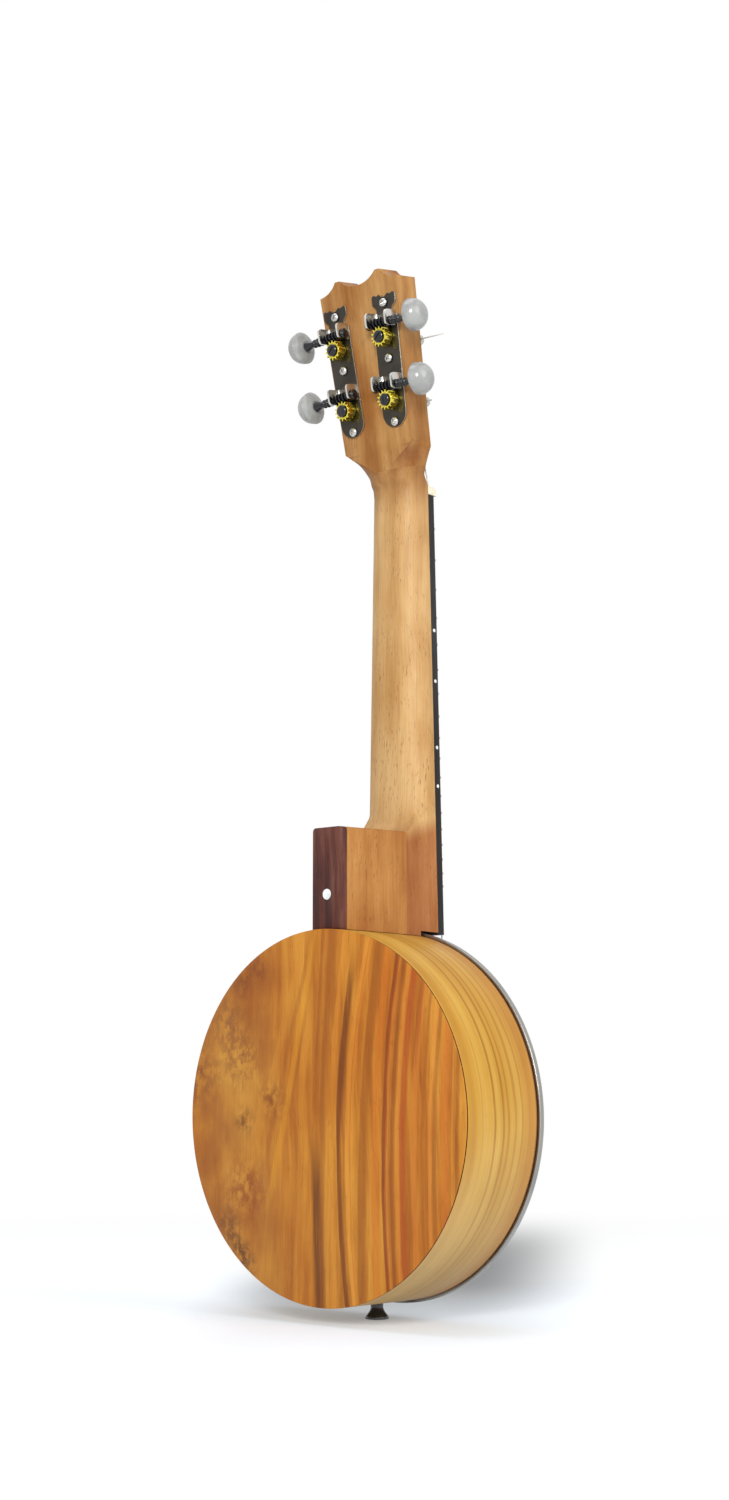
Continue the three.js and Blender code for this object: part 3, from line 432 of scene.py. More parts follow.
@dataclass(frozen=True)
class Wood(Finish):
    """A lacquered or oiled wood."""

    palette: Palette = ()
    pore_colour: str = "4a2c16"
    cloud_colour: str = "c8a888"
    fibre_palette: Palette = ((0.0, "c8b49a"), (0.5, "f0e6d8"), (1.0, "ffffff"))
    grain: Grain = Grain.UP
    stripe: float = 110.0
    flow: float = 0.06
    fibre: float = 1300.0
    fibre_share: float = 0.35
    pore: float = 1500.0
    pore_share: float = 0.45
    cloud: float = 34.0
    sway: float = 0.012
    specular: float = 0.22
    relief: float = 0.00003

    def along(self, graph: Graph, place: Socket) -> Socket:
        """Turn places on the object so that Z runs with the fibres."""
        if self.grain is Grain.HEAD:
            turned = graph.add("ShaderNodeMapping", {"Vector": place,
                                                     "Rotation": (Headstock.tilt, 0.0, 0.0)})
            return turned.outputs["Vector"]
        if self.grain is Grain.ROUND:
            parts = graph.parts(place)
            turn = graph.math("ARCTAN2", parts["X"], graph.math("MULTIPLY", parts["Z"], -1.0))
            radius = graph.vector("LENGTH", graph.stretch(place, (1, 0, 1)))
            length = graph.math("MULTIPLY", turn, Body.grain_radius)
            return graph.add("ShaderNodeCombineXYZ", {0: parts["Y"], 1: radius, 2: length}).outputs[0]
        return place

    def figure(self, graph: Graph, place: Socket) -> bpy.types.Node:
        """Return this wood's figure as a placed group."""
        node = graph.add("ShaderNodeGroup", node_tree=wood_figure())
        graph.feed(node.inputs["Place"], place)
        sizes = {"Sway": self.sway, "Stripe": self.stripe, "Flow": self.flow,
                 "Fibre": self.fibre, "Pore": self.pore, "Cloud": self.cloud}
        for name, size in sizes.items():
            graph.feed(node.inputs[name], size)
        return node

    def base(self, graph: Graph, place: Socket, stripe: Socket) -> Socket:
        """Return the colour of the wood before fibres and pores."""
        return graph.ramp(stripe, self.palette)

    def colour(self, graph: Graph, place: Socket) -> tuple[Value, Value, Value]:
        """Work out the wood at each point, as Finish.colour says."""
        figure = self.figure(graph, self.along(graph, place)).outputs
        base = self.base(graph, place, figure["Stripe"])
        cloudy = graph.ramp(figure["Clouds"], ((0.0, self.cloud_colour), (1.0, "ffffff")))
        base = graph.mix(1.0, base, cloudy, "MULTIPLY")
        shade = graph.ramp(figure["Fibre"], self.fibre_palette)
        fibred = graph.mix(self.fibre_share, base, shade, "MULTIPLY")
        share = graph.math("MULTIPLY", figure["Pores"], self.pore_share)
        tint = graph.mix(share, fibred, self.pore_colour)
        height = graph.math("SUBTRACT", graph.math("MULTIPLY", figure["Fibre"], 0.5), figure["Pores"])
        return tint, figure["Fibre"], height


@dataclass(frozen=True)
class Streak:
    """One stripe of the figured back: where it crosses the middle, how it runs and where it fades."""

    across: float
    width: float
    colour: str
    strength: float = 0.8
    low: float = -0.12
    high: float = 0.12
    lean: float = 0.0
    bend: float = 0.0
    crisp: float = 0.35
    core: ClassVar[float] = 0.35
    fade: ClassVar[float] = 0.02

    @classmethod
    def whole(cls, across: float, width: float, colour: str, strength: float) -> "Streak":
        """Return a line that runs all the way round and doesn't fade out."""
        return cls(across, width, colour, strength, low=-0.4, high=0.4)


@dataclass(frozen=True)
class FiguredWood(Wood):
    """Wood with strong stripes in chosen places, small burls and a mottled side."""

    streaks: tuple[Streak, ...] = ()
    burls: tuple[tuple[float, float, float, str], ...] = ()
    waver: float = 0.0050
    waver_scale: float = 26.0
    ragged: float = 0.0012
    ragged_scale: float = 520.0
    break_scale: float = 700.0
    break_share: float = 0.25
    mottle: Palette = ()
    mottle_start: float = 0.0120
    mottle_full: float = 0.0520
    mottle_share: float = 0.8
    mottle_scale: float = 30.0
    burl_share: float = 0.85
    burl_scale: float = 170.0

    def streaked(self, graph: Graph, tint: Socket, across: Socket, height: Socket, broken: Socket,
                 streak: Streak) -> Socket:
        """Lay one streak over a colour.

        Args:
            graph: The material's graph.
            tint: The colour so far.
            across: The swayed place across the board.
            height: The place up the board.
            broken: A value near 1 that breaks the streak up.
            streak: The streak.

        Returns:
            The colour with the streak.
        """
        leant = graph.math("MULTIPLY_ADD", height, streak.bend, streak.lean)
        middle = graph.math("MULTIPLY_ADD", height, leant, streak.across)
        off = graph.math("SUBTRACT", across, middle)
        near = streak.width * streak.crisp
        line = graph.math("MINIMUM", graph.ease(off, near, near * streak.core),
                          graph.ease(off, -streak.width, -streak.width * streak.core))
        low = graph.ease(height, streak.low - streak.fade, streak.low + streak.fade)
        high = graph.ease(height, streak.high + streak.fade, streak.high - streak.fade)
        share = graph.product(line, low, high, streak.strength, broken)
        return graph.mix(share, tint, streak.colour)

    def figured(self, graph: Graph, tint: Socket, place: Socket) -> Socket:
        """Lay the streaks and burls over a colour.

        Args:
            graph: The material's graph.
            tint: The colour underneath.
            place: Where the point is, with X across the streaks and Z along them.

        Returns:
            The figured colour.
        """
        parts = graph.parts(place)
        slow = graph.noise(graph.stretch(place, (1, 1, 0.35)), self.waver_scale, 3.0)
        quick = graph.noise(graph.stretch(place, (1, 1, 0.05)), self.ragged_scale, 2.0)
        sway = graph.math("MULTIPLY_ADD", slow, self.waver, -self.waver / 2)
        sway = graph.math("ADD", sway, graph.math("MULTIPLY_ADD", quick, self.ragged, -self.ragged / 2))
        across = graph.math("ADD", parts["X"], sway)
        broken = graph.noise(graph.stretch(place, (1, 1, 0.03)), self.break_scale, 2.0)
        broken = graph.math("MULTIPLY_ADD", graph.ease(broken, 0.2, 0.55), self.break_share,
                            1.0 - self.break_share)
        for streak in self.streaks:
            tint = self.streaked(graph, tint, across, parts["Z"], broken, streak)
        swirl = graph.noise(graph.stretch(place, (1, 1, 0.8)), self.burl_scale, 4.0, 0.7)
        for x, z, radius, colour in self.burls:
            near = graph.ease(graph.vector("DISTANCE", place, (x, 0.0, z)), radius, 0.0)
            share = graph.product(near, graph.ease(swirl, 0.38, 0.60), self.burl_share)
            tint = graph.mix(share, tint, colour)
        return tint

    def base(self, graph: Graph, place: Socket, stripe: Socket) -> Socket:
        """Return the striped, mottled and burled colour, as Wood.base says."""
        patchy = graph.noise(graph.stretch(place, (1, 1, 0.75)), self.mottle_scale, 3.0, 0.5)
        mottled = graph.ramp(graph.ease(patchy, 0.34, 0.66), self.mottle)
        side = graph.ease(graph.parts(place)["X"], self.mottle_start, self.mottle_full)
        share = graph.product(side, self.mottle_share)
        tint = graph.mix(share, graph.ramp(stripe, self.palette), mottled)
        return self.figured(graph, tint, place)


@dataclass(frozen=True)
class BentWood(FiguredWood):
    """The rim's wood: fine lines round it, warmer towards the hoop, paler below from a painted reflection of
    the pale floor, and darker at its front edge from painted shade under the hoop.

    Each band is where it starts, where it is full, its share and its colour.
    """

    # painted reflection of the pale floor: the rim grows paler towards the bottom
    low_painted_reflection: ColourBand = (0.0200, -0.0900, 0.55, "e0c492")
    warm_stain: ColourBand = (0.0360, 0.0580, 0.5, "b9763c")
    # painted shade: the rim's last millimetre darkens where it meets the gap under the hoop
    edge_painted_shade: ColourBand = (0.0556, 0.0566, 0.9, "7c4826")

    def base(self, graph: Graph, place: Socket, stripe: Socket) -> Socket:
        """Return the lined colour with its dark edge, as Wood.base says."""
        tint = self.figured(graph, graph.ramp(stripe, self.palette), self.along(graph, place))
        parts = graph.parts(place)
        depth = graph.math("MULTIPLY", parts["Y"], -1.0)
        # The pale band below is a painted reflection of the floor, and the dark front edge is painted shade
        # in the gap under the hoop.
        for value, (start, full, share, code) in ((parts["Z"], self.low_painted_reflection), (depth, self.warm_stain),
                                                  (depth, self.edge_painted_shade)):
            tint = graph.mix(graph.product(graph.ease(value, start, full), share), tint, code)
        return tint


@dataclass(frozen=True)
class NeckWood(Wood):
    """The neck's wood, redder in the heel and warmer towards the headstock."""

    heel_palette: Palette = ()
    top_palette: Palette = ()
    heel_top: float = 0.1500
    heel_lean: float = 0.35
    heel_depth: float = 0.0463
    heel_fade: float = 0.006
    throat: float = 0.3500
    throat_fade: float = 0.020

    def base(self, graph: Graph, place: Socket, stripe: Socket) -> Socket:
        """Return the colour as it changes up the neck, as Wood.base says."""
        parts = graph.parts(place)
        level = graph.math("MULTIPLY_ADD", parts["Y"], self.heel_lean, parts["Z"])
        foot = self.heel_top - self.heel_lean * self.heel_depth
        low = graph.ease(level, foot + self.heel_fade, foot - self.heel_fade)
        high = graph.ease(parts["Z"], self.throat - self.throat_fade, self.throat + self.heel_fade)
        tint = graph.mix(low, graph.ramp(stripe, self.palette), graph.ramp(stripe, self.heel_palette))
        return graph.mix(high, tint, graph.ramp(stripe, self.top_palette))


@dataclass(frozen=True)
class EndGrain(Wood):
    """The headstock's wood, darker on the carved slopes below the flat back: partly the end grain that the
    cut opens, partly painted shade on those sloping faces.
    """

    end_grain_and_shade_colour: str = "966440"
    end_grain_and_shade_share: float = 0.75
    slope_start: Span = (0.1, 0.45)
    slope_end: Span = (0.985, 0.93)
    top_fade: float = 0.003
    foot_fade: float = 0.008

    def base(self, graph: Graph, place: Socket, stripe: Socket) -> Socket:
        """Return the colour, darker on the carved slopes, as Wood.base says."""
        tint = graph.ramp(stripe, self.palette)
        back = Headstock.facing(graph)
        height = graph.parts(place)["Z"]
        top, foot = Headstock.carve_top, Headstock.carve_foot
        # Darker on the sloping carved faces, chosen by which way each face points: partly end grain, partly
        # painted shade.
        share = graph.product(graph.ease(back, *self.slope_start), graph.ease(back, *self.slope_end),
                              graph.ease(height, top + self.top_fade, top),
                              graph.ease(height, foot, foot + self.foot_fade), self.end_grain_and_shade_share)
        return graph.mix(share, tint, self.end_grain_and_shade_colour)


@dataclass(frozen=True)
class Metal(Finish):
    """A plated or turned metal with fine brushing and faint smears."""

    tint: str = "b8b8b6"
    shade: str = "8e8e8c"
    shade_share: float = 0.6
    cloud_scale: float = 60.0
    brush: float = 700.0
    metallic: float = 1.0
    relief: float = 0.000008

    def colour(self, graph: Graph, place: Socket) -> tuple[Value, Value, Value]:
        """Work out the metal at each point, as Finish.colour says."""
        brushed = graph.noise(graph.stretch(place, (1, 1, 0.2)), self.brush, 2.0, 0.6)
        cloud = graph.noise(place, self.cloud_scale, 3.0)
        share = graph.product(graph.ease(cloud, 0.35, 0.75), self.shade_share)
        return graph.mix(share, self.tint, self.shade), brushed, brushed


@dataclass(frozen=True)
class CutPlate(Metal):
    """A dark plated sheet whose cut edges are brighter: partly bare metal, partly a painted highlight."""

    bare_edge_and_highlight_tint: str = "c8c6be"
    edge_turn: Span = (0.93, 0.6)

    def colour(self, graph: Graph, place: Socket) -> tuple[Value, Value, Value]:
        """Work out the plate at each point, as Finish.colour says."""
        tint, brushed, height = super().colour(graph, place)
        # Side faces get a brighter tint: bare cut metal and a painted highlight along the edges.
        side = graph.ease(graph.math("ABSOLUTE", Headstock.facing(graph)), *self.edge_turn)
        return graph.mix(side, tint, self.bare_edge_and_highlight_tint), brushed, height


@dataclass(frozen=True)
class Plastic(Finish):
    """A cloudy moulded plastic, shell or bone, with drifting swirls."""

    tint: str = "e4e6e4"
    shade: str = "c2c5c6"
    swirl: float = 90.0
    drift: float = 1.4
    glow: float = 0.0
    glow_radius: Corner = (0.6, 0.6, 0.6)
    glow_depth: float = 0.002

    def colour(self, graph: Graph, place: Socket) -> tuple[Value, Value, Value]:
        """Work out the cloudy colour at each point, as Finish.colour says."""
        drift = graph.add("ShaderNodeTexNoise", {"Vector": place, "Scale": self.swirl, "Detail": 3.0,
                                                 "Distortion": self.drift}).outputs["Fac"]
        return graph.mix(graph.ease(drift, 0.35, 0.68), self.tint, self.shade), drift, drift

    def settle(self, shader: bpy.types.Node) -> None:
        """Add the glow under the surface to what Finish.settle sets."""
        super().settle(shader)
        shader.inputs["Subsurface Weight"].default_value = self.glow
        shader.inputs["Subsurface Radius"].default_value = self.glow_radius
        shader.inputs["Subsurface Scale"].default_value = self.glow_depth


class Finishes:
    """Every finish on the instrument, by what it is on."""

    rim = BentWood(
        "rim", "rim_wood", roughness=0.38, grain=Grain.ROUND, stripe=120.0, sway=0.004, specular=0.12,
        flow=0.012,
        palette=((0.0, "c4923e"), (0.3, "cfa048"), (0.6, "d6aa52"), (1.0, "dcb45e")),
        pore_colour="9a6a30", cloud_colour="ece2cc", cloud=22.0, fibre=1100.0, fibre_share=0.16,
        pore_share=0.15, waver=0.0060, ragged=0.0006,
        streaks=(
            Streak.whole(-0.0120, 0.0014, "c49244", 0.55), Streak.whole(-0.0222, 0.0017, "ab762f", 0.80),
            Streak.whole(-0.0292, 0.0016, "ad7831", 0.80), Streak.whole(-0.0330, 0.0014, "b58038", 0.70),
            Streak.whole(-0.0385, 0.0022, "bb863e", 0.60), Streak.whole(-0.0440, 0.0016, "b8823a", 0.60),
            Streak.whole(-0.0500, 0.0020, "bf8842", 0.50)))
    back = FiguredWood(
        "back", "back_wood", roughness=0.42, coat=0.05, stripe=120.0, sway=0.012, fibre_share=0.34,
        palette=((0.0, "a6661f"), (0.35, "b77527"), (0.65, "c3832c"), (1.0, "d19338")),
        mottle=((0.0, "a2662c"), (0.35, "b37831"), (0.65, "bf8536"), (1.0, "c9923f")),
        pore_colour="5a3010", cloud_colour="ead2b4", cloud=24.0, pore_share=0.2,
        streaks=(
            Streak(0.0062, 0.0050, "744416", 0.95, high=-0.020, lean=0.055, crisp=0.8),
            Streak(0.0004, 0.0040, "9c5f22", 0.55, lean=-0.03, bend=-0.4),
            Streak(-0.0058, 0.0034, "cf8a32", 0.75, lean=-0.04, bend=-0.7),
            Streak(-0.0113, 0.0032, "7e4614", 1.00, high=0.015, lean=-0.040, bend=-1.0),
            Streak(-0.0120, 0.0052, "7c4714", 0.95, low=0.002, high=0.075, lean=-0.050, bend=-0.8),
            Streak(-0.0180, 0.0046, "d6943a", 0.95, lean=-0.059, bend=-1.1),
            Streak(-0.0198, 0.0011, "c47a26", 0.70, lean=-0.059, bend=-1.1),
            Streak(-0.0283, 0.0060, "a2641f", 0.80, lean=-0.075, bend=-0.6),
            Streak(-0.0368, 0.0050, "cc802c", 0.90, lean=-0.052, bend=-0.65),
            Streak(-0.0426, 0.0026, "934c1c", 0.95, lean=-0.045, bend=-0.9),
            Streak(-0.0452, 0.0013, "cc7e34", 0.80, lean=-0.045, bend=-0.9),
            Streak(-0.0482, 0.0028, "97581e", 0.85, lean=-0.045, bend=-0.8),
            Streak(-0.0517, 0.0028, "d28936", 0.90, lean=-0.043, bend=-0.85),
            Streak(-0.0560, 0.0034, "b05c24", 0.95, lean=-0.043, bend=-0.85, crisp=0.8),
            Streak(-0.0630, 0.0040, "d0883a", 0.75, lean=-0.040, bend=-0.85),
            Streak(-0.0620, 0.0030, "9e5220", 0.60, low=0.03, lean=-0.040, bend=-0.85),
            Streak(-0.0688, 0.0020, "a8682a", 0.65, lean=-0.040, bend=-0.8),
            Streak(-0.0732, 0.0026, "d6923e", 0.85, lean=-0.035, bend=-0.8),
            Streak(-0.0765, 0.0022, "a4682c", 0.65, lean=-0.035, bend=-0.8, crisp=0.6),
            Streak(-0.0820, 0.0050, "cc7c30", 0.75, lean=-0.030, bend=-0.7),
            Streak(-0.0874, 0.0012, "cf8c3c", 0.70, lean=-0.030, bend=-0.7),
            Streak(-0.0900, 0.0022, "8f5422", 0.60, lean=-0.030, bend=-0.6),
            Streak(0.0065, 0.0024, "9a5c20", 0.60, low=0.02, lean=-0.07),
            Streak(0.0235, 0.0026, "94581e", 0.65, low=0.02, lean=-0.22, bend=0.4),
            Streak(0.0275, 0.0046, "d2942e", 0.75, low=-0.04, lean=-0.25, bend=0.4),
            Streak(0.0350, 0.0034, "a06426", 0.45, low=-0.02, lean=-0.28),
            Streak(0.0440, 0.0050, "cd9038", 0.45, low=-0.05, lean=-0.32),
            Streak(0.0150, 0.0040, "cc8e34", 0.45, low=-0.09, lean=-0.05),
        ),
        burls=((0.0553, -0.0396, 0.024, "8c4520"), (0.0577, -0.0036, 0.012, "74441e"),
               (0.0360, 0.0080, 0.016, "84481e"), (0.0588, -0.0710, 0.011, "5a3824"),
               (0.0540, -0.0790, 0.011, "50332a"), (0.0655, -0.0620, 0.012, "644028"),
               (0.0480, 0.0770, 0.012, "845028"), (0.0600, 0.0700, 0.012, "804e28"),
               (0.0700, 0.0500, 0.026, "8e5a30"), (0.0600, 0.0300, 0.024, "8c5428"),
               (0.0950, 0.0200, 0.030, "86502c"), (0.0700, -0.0560, 0.014, "875428")))
    neck = NeckWood("neck", "neck_wood", roughness=0.45, stripe=95.0,
                    palette=((0.0, "bd9563"), (0.4, "c8a26e"), (1.0, "d3af7b")),
                    heel_palette=((0.0, "995f33"), (0.5, "a66b3d"), (1.0, "b27949")),
                    top_palette=((0.0, "97693c"), (0.35, "a27646"), (0.7, "ad8250"), (1.0, "b88e5c")),
                    pore_colour="6a4526", cloud_colour="eaddca", cloud=50.0, pore_share=0.6)
    head = EndGrain("headstock", "neck_wood", roughness=0.45, grain=Grain.HEAD, stripe=95.0,
                    palette=((0.0, "a17141"), (0.35, "ad804c"), (0.7, "b88c56"), (1.0, "c29862")),
                    pore_colour="6a4526", cloud_colour="dcc4a2", cloud=50.0)
    heel = Wood("heel", "heel_wood", roughness=0.42, stripe=140.0, cloud_colour="dcc4a4", pore_share=0.6,
                palette=((0.0, "aa733a"), (0.4, "b57e42"), (1.0, "c08c4e")), pore_colour="6a421f")
    cap = Wood("cap", "cap_wood", roughness=0.38, coat=0.05, stripe=190.0, cloud_colour="c8b0a8",
               palette=((0.0, "3c2322"), (0.3, "58302a"), (0.6, "6c4034"), (1.0, "7a5348")),
               pore_colour="1c0e0c")
    dowel = Wood("dowel", "dowel_wood", roughness=0.6, stripe=120.0,
                 palette=((0.0, "c79d63"), (0.5, "d2ac74"), (1.0, "ddbb86")), pore_colour="8a6236")
    board = Wood("board", "board_wood", roughness=0.45, coat=0.1, stripe=200.0,
                 palette=((0.0, "17171a"), (0.5, "222226"), (1.0, "2e2c2e")), pore_colour="0c0b0c")
    seam = Wood("seam", "back_wood", roughness=0.8, specular=0.05,
                palette=((0.0, "4a2a12"), (1.0, "5e3818")))
    bridge = Wood("bridge", "bridge_wood", roughness=0.5, stripe=220.0,
                  palette=((0.0, "c9a36a"), (0.5, "d8b57c"), (1.0, "e2c48e")), pore_colour="8a6236")
    bone = Plastic("bone", "bone", roughness=0.35, tint="ece3cc", shade="d8ccae", glow=0.1)
    pearl = Plastic("pearl", "pearl", roughness=0.18, coat=0.3, tint="a0a19f", shade="909190",
                    swirl=70.0, glow=0.1)
    dot = Plastic("dot_pearl", "pearl", roughness=0.2, coat=0.3, tint="eef1ee", shade="cfd8d8")
    film = Plastic("drum_film", "drum_film", roughness=0.55, tint="f1eee6", shade="e4e0d4", swirl=24.0)
    nylon = Plastic("nylon", "nylon", roughness=0.22, tint="e2e2de", shade="d0d0cc", glow=0.3)
    nickel = Metal("nickel", "nickel", roughness=0.2, tint="c9c8c4", shade="a9a8a4")
    # A darker copy of the nickel for the hoop: painted shade that stands in for its darker reflections.
    hoop = Metal("hoop_nickel", "nickel", roughness=0.3, tint="a09f9a", shade="848380")
    lug = Metal("lug_nickel", "nickel", roughness=0.16, tint="d8d7d2", shade="b6b4ae")
    dark = Metal("dark_chrome", "dark_chrome", roughness=0.24, coat=0.6, metallic=0.3, tint="454547",
                 shade="333335")
    plate = CutPlate("plate_metal", "plate_metal", roughness=0.36, tint="4c4842", shade="35322e")
    black = Metal("black_metal", "black_metal", roughness=0.2, coat=0.6, metallic=0.6, tint="16161c",
                  shade="0c0c10")
    brass = Metal("brass", "brass", roughness=0.16, tint="f2e262", shade="c0ac34", relief=0.00003,
                  brush=1600.0)


def rounded(corners: Sequence[Corner], steps: int = 4, loop: bool = False) -> list[tuple[float, float]]:
    """Ease the corners of an outline.

    Args:
        corners: Points as two coordinates, with the length that is cut from the corner if it is eased.
        steps: How many points an eased corner has beside its first.
        loop: Whether the last point joins the first.

    Returns:
        The outline's points.
    """
    points: list[tuple[float, float]] = []
    for i, (x, y, *cuts) in enumerate(corners):
        if not cuts or (not loop and i in (0, len(corners) - 1)):
            points.append((x, y))
            continue
        here = Vector((x, y))
        before = Vector(corners[i - 1][:2]) - here
        after = Vector(corners[(i + 1) % len(corners)][:2]) - here
        first = here + before.normalized() * min(cuts[0], before.length / 2)
        last = here + after.normalized() * min(cuts[0], after.length / 2)
        for step in range(steps + 1):
            share = step / steps
            point = first.lerp(here, share).lerp(here.lerp(last, share), share)
            points.append((point.x, point.y))
    return points


def turned(profile: Sequence[tuple[float, float]], segments: int = Sides.button, axis: Axis = Axis.Y,
           loop: bool = False) -> Mesh:
    """Turn a profile about an axis through the origin.

    Args:
        profile: Pairs of a radius and a height on the axis.
        segments: How many sides the turned piece has.
        axis: The axis.
        loop: Whether the profile closes on itself, as a ring's does.

    Returns:
        The turned piece as a closed mesh.
    """
    bm = bmesh.new()
    rows = []
    for radius, height in profile:
        count = segments if radius > 1e-7 else 1
        turns = (2 * math.pi * i / count for i in range(count))
        rows.append([bm.verts.new((radius * math.cos(t), radius * math.sin(t), height)) for t in turns])
    pairs = list(zip(rows, rows[1:])) + ([(rows[-1], rows[0])] if loop else [])
    for low, high in pairs:
        for i in range(segments):
            j = (i + 1) % segments
            corners = [low[i % len(low)], low[j % len(low)], high[j % len(high)], high[i % len(high)]]
            face = list(dict.fromkeys(corners))
            if len(face) > 2:
                bm.faces.new(face)
    for row in (rows[0], rows[-1]):
        if not loop and len(row) > 1:
            bm.faces.new(row)
    bm.transform(axis.value)
    return bm


def skinned(rings: Sequence[Sequence[Vector]], capped: bool = True) -> Mesh:
    """Skin rings of equal count into one closed piece."""
    bm = bmesh.new()
    rows = [[bm.verts.new(point) for point in ring] for ring in rings]
    for low, high in zip(rows, rows[1:]):
        for i in range(len(low)):
            j = (i + 1) % len(low)
            bm.faces.new((low[i], low[j], high[j], high[i]))
    if capped:
        bm.faces.new(rows[0])
        bm.faces.new(rows[-1])
    return bm


def slab(outline: Sequence[tuple[float, float]], low: float, high: float) -> Mesh:
    """Give an outline drawn in X and Z a thickness between two places on Y."""
    return skinned([[Vector((x, y, z)) for x, z in outline] for y in (low, high)])


def rail(outline: Sequence[tuple[float, float]], width: float) -> Mesh:
    """Run an outline drawn in Y and Z along X, centred on X = 0."""
    return skinned([[Vector((x, y, z)) for y, z in outline] for x in (-width / 2, width / 2)])


def moved(bm: Mesh, place: Matrix | Vector | tuple) -> Mesh:
    """Put a mesh somewhere else, by a matrix or so far along each axis, and return it."""
    bm.transform(place if isinstance(place, Matrix) else Matrix.Translation(place))
    return bm


def together(parts: Sequence[Mesh]) -> Mesh:
    """Put several meshes into one."""
    whole = bmesh.new()
    for part in parts:
        mesh = bpy.data.meshes.new("part")
        part.to_mesh(mesh)
        part.free()
        whole.from_mesh(mesh)
        bpy.data.meshes.remove(mesh)
    return whole


def as_object(name: str, bm: Mesh) -> Item:
    """Turn a mesh into an object at the origin with its faces outwards."""
    bmesh.ops.remove_doubles(bm, verts=bm.verts, dist=1e-6)
    bmesh.ops.recalc_face_normals(bm, faces=bm.faces)
    mesh = bpy.data.meshes.new(name)
    bm.to_mesh(mesh)
    bm.free()
    return linked(name, mesh)


def baked(obj: Item) -> Item:
    """Make the object's modifiers part of its mesh."""
    bpy.context.view_layer.update()
    seen = obj.evaluated_get(bpy.context.evaluated_depsgraph_get())
    mesh = bpy.data.meshes.new_from_object(seen)
    obj.modifiers.clear()
    obj.data = mesh
    mesh.name = obj.name
    return obj


def worked(obj: Item, tools: Sequence[Mesh], how: Join) -> Item:
    """Cut pieces out of an object, or add them to it.

    Args:
        obj: The object that is worked.
        tools: The pieces, none of them crossing another.
        how: Whether they are cut or added.

    Returns:
        The same object.
    """
    tool = as_object("tool", together(tools))
    modifier = obj.modifiers.new("work", "BOOLEAN")
    modifier.operation = how.value
    modifier.solver = "EXACT"
    modifier.object = tool
    baked(obj)
    bpy.data.objects.remove(tool)
    return obj


def eased(obj: Item, width: float, steps: int = 3, angle: float = 38.0) -> Item:
    """Round every sharp edge of an object by a small width."""
    modifier = obj.modifiers.new("ease", "BEVEL")
    modifier.width = width
    modifier.segments = steps
    modifier.limit_method = "ANGLE"
    modifier.angle_limit = math.radians(angle)
    modifier.use_clamp_overlap = True
    return baked(obj)


def sealed(obj: Item, width: float = 0.00002) -> Item:
    """Merge the points of an object that lie closer than a width and close what stays open."""
    bm = bmesh.new()
    bm.from_mesh(obj.data)
    bmesh.ops.remove_doubles(bm, verts=bm.verts, dist=width)
    bmesh.ops.holes_fill(bm, edges=[edge for edge in bm.edges if edge.is_boundary], sides=8)
    bm.to_mesh(obj.data)
    bm.free()
    return obj


def dressed(obj: Item, finish: Finish, nodes: Sequence[str] = (), body: str = "root",
            crease: float = 32.0) -> Item:
    """Shade a finished piece, give it its finish and fasten it to its body.

    Args:
        obj: The piece.
        finish: What its surface is.
        nodes: The solids that it stands for.
        body: The body that it moves with, or nothing where it crosses a joint.
        crease: The angle in degrees above which an edge stays sharp.

    Returns:
        The same piece.
    """
    obj.data.shade_smooth()
    obj.data.set_sharp_from_angle(angle=math.radians(crease))
    obj.data.materials.clear()
    obj.data.materials.append(finish.material())
    if nodes:
        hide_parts(*nodes)
    if body:
        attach(obj, body)
    log.info("made %s, %d faces, on %s", obj.name, len(obj.data.polygons), body or "two bodies")
    return obj


class Pattern:
    """A geometry tree with named inputs that repeats an item or sweeps a path."""

    def __init__(self, name: str, inputs: dict[str, str]) -> None:
        """Start a tree.

        Args:
            name: The tree's name.
            inputs: Its input names and kinds of socket, besides its geometry and its finish.
        """
        self.tree = bpy.data.node_groups.new(name, "GeometryNodeTree")
        face = self.tree.interface
        for socket, kind in {"Geometry": "Geometry", **inputs, "Finish": "Material"}.items():
            face.new_socket(name=socket, in_out="INPUT", socket_type=f"NodeSocket{kind}")
        face.new_socket(name="Geometry", in_out="OUTPUT", socket_type="NodeSocketGeometry")
        self.graph = Graph(self.tree)
        self.given = self.graph.add("NodeGroupInput").outputs

    def finish(self, geometry: Socket) -> "Pattern":
        """End the tree with real instances that carry their finish."""
        real = self.graph.add("GeometryNodeRealizeInstances", {0: geometry}).outputs[0]
        painted = self.graph.add("GeometryNodeSetMaterial",
                                 {"Geometry": real, "Material": self.given["Finish"]}).outputs[0]
        self.graph.feed(self.graph.add("NodeGroupOutput").inputs[0], painted)
        return self

    def applied(self, item: Item, finish: Finish, **values: Value) -> Item:
        """Run the tree on an object and keep the result as its mesh.

        Args:
            item: The item that is repeated, or the path that is swept.
            finish: What the result's surface is.
            values: The tree's inputs by name, with spaces written as underscores.

        Returns:
            The same object.
        """
        modifier = item.modifiers.new("pattern", "NODES")
        modifier.node_group = self.tree
        sockets = {s.name: s.identifier for s in self.tree.interface.items_tree if s.in_out == "INPUT"}
        modifier[sockets["Finish"]] = finish.material()
        for name, value in values.items():
            modifier[sockets[name.replace("_", " ")]] = value
        return baked(item)


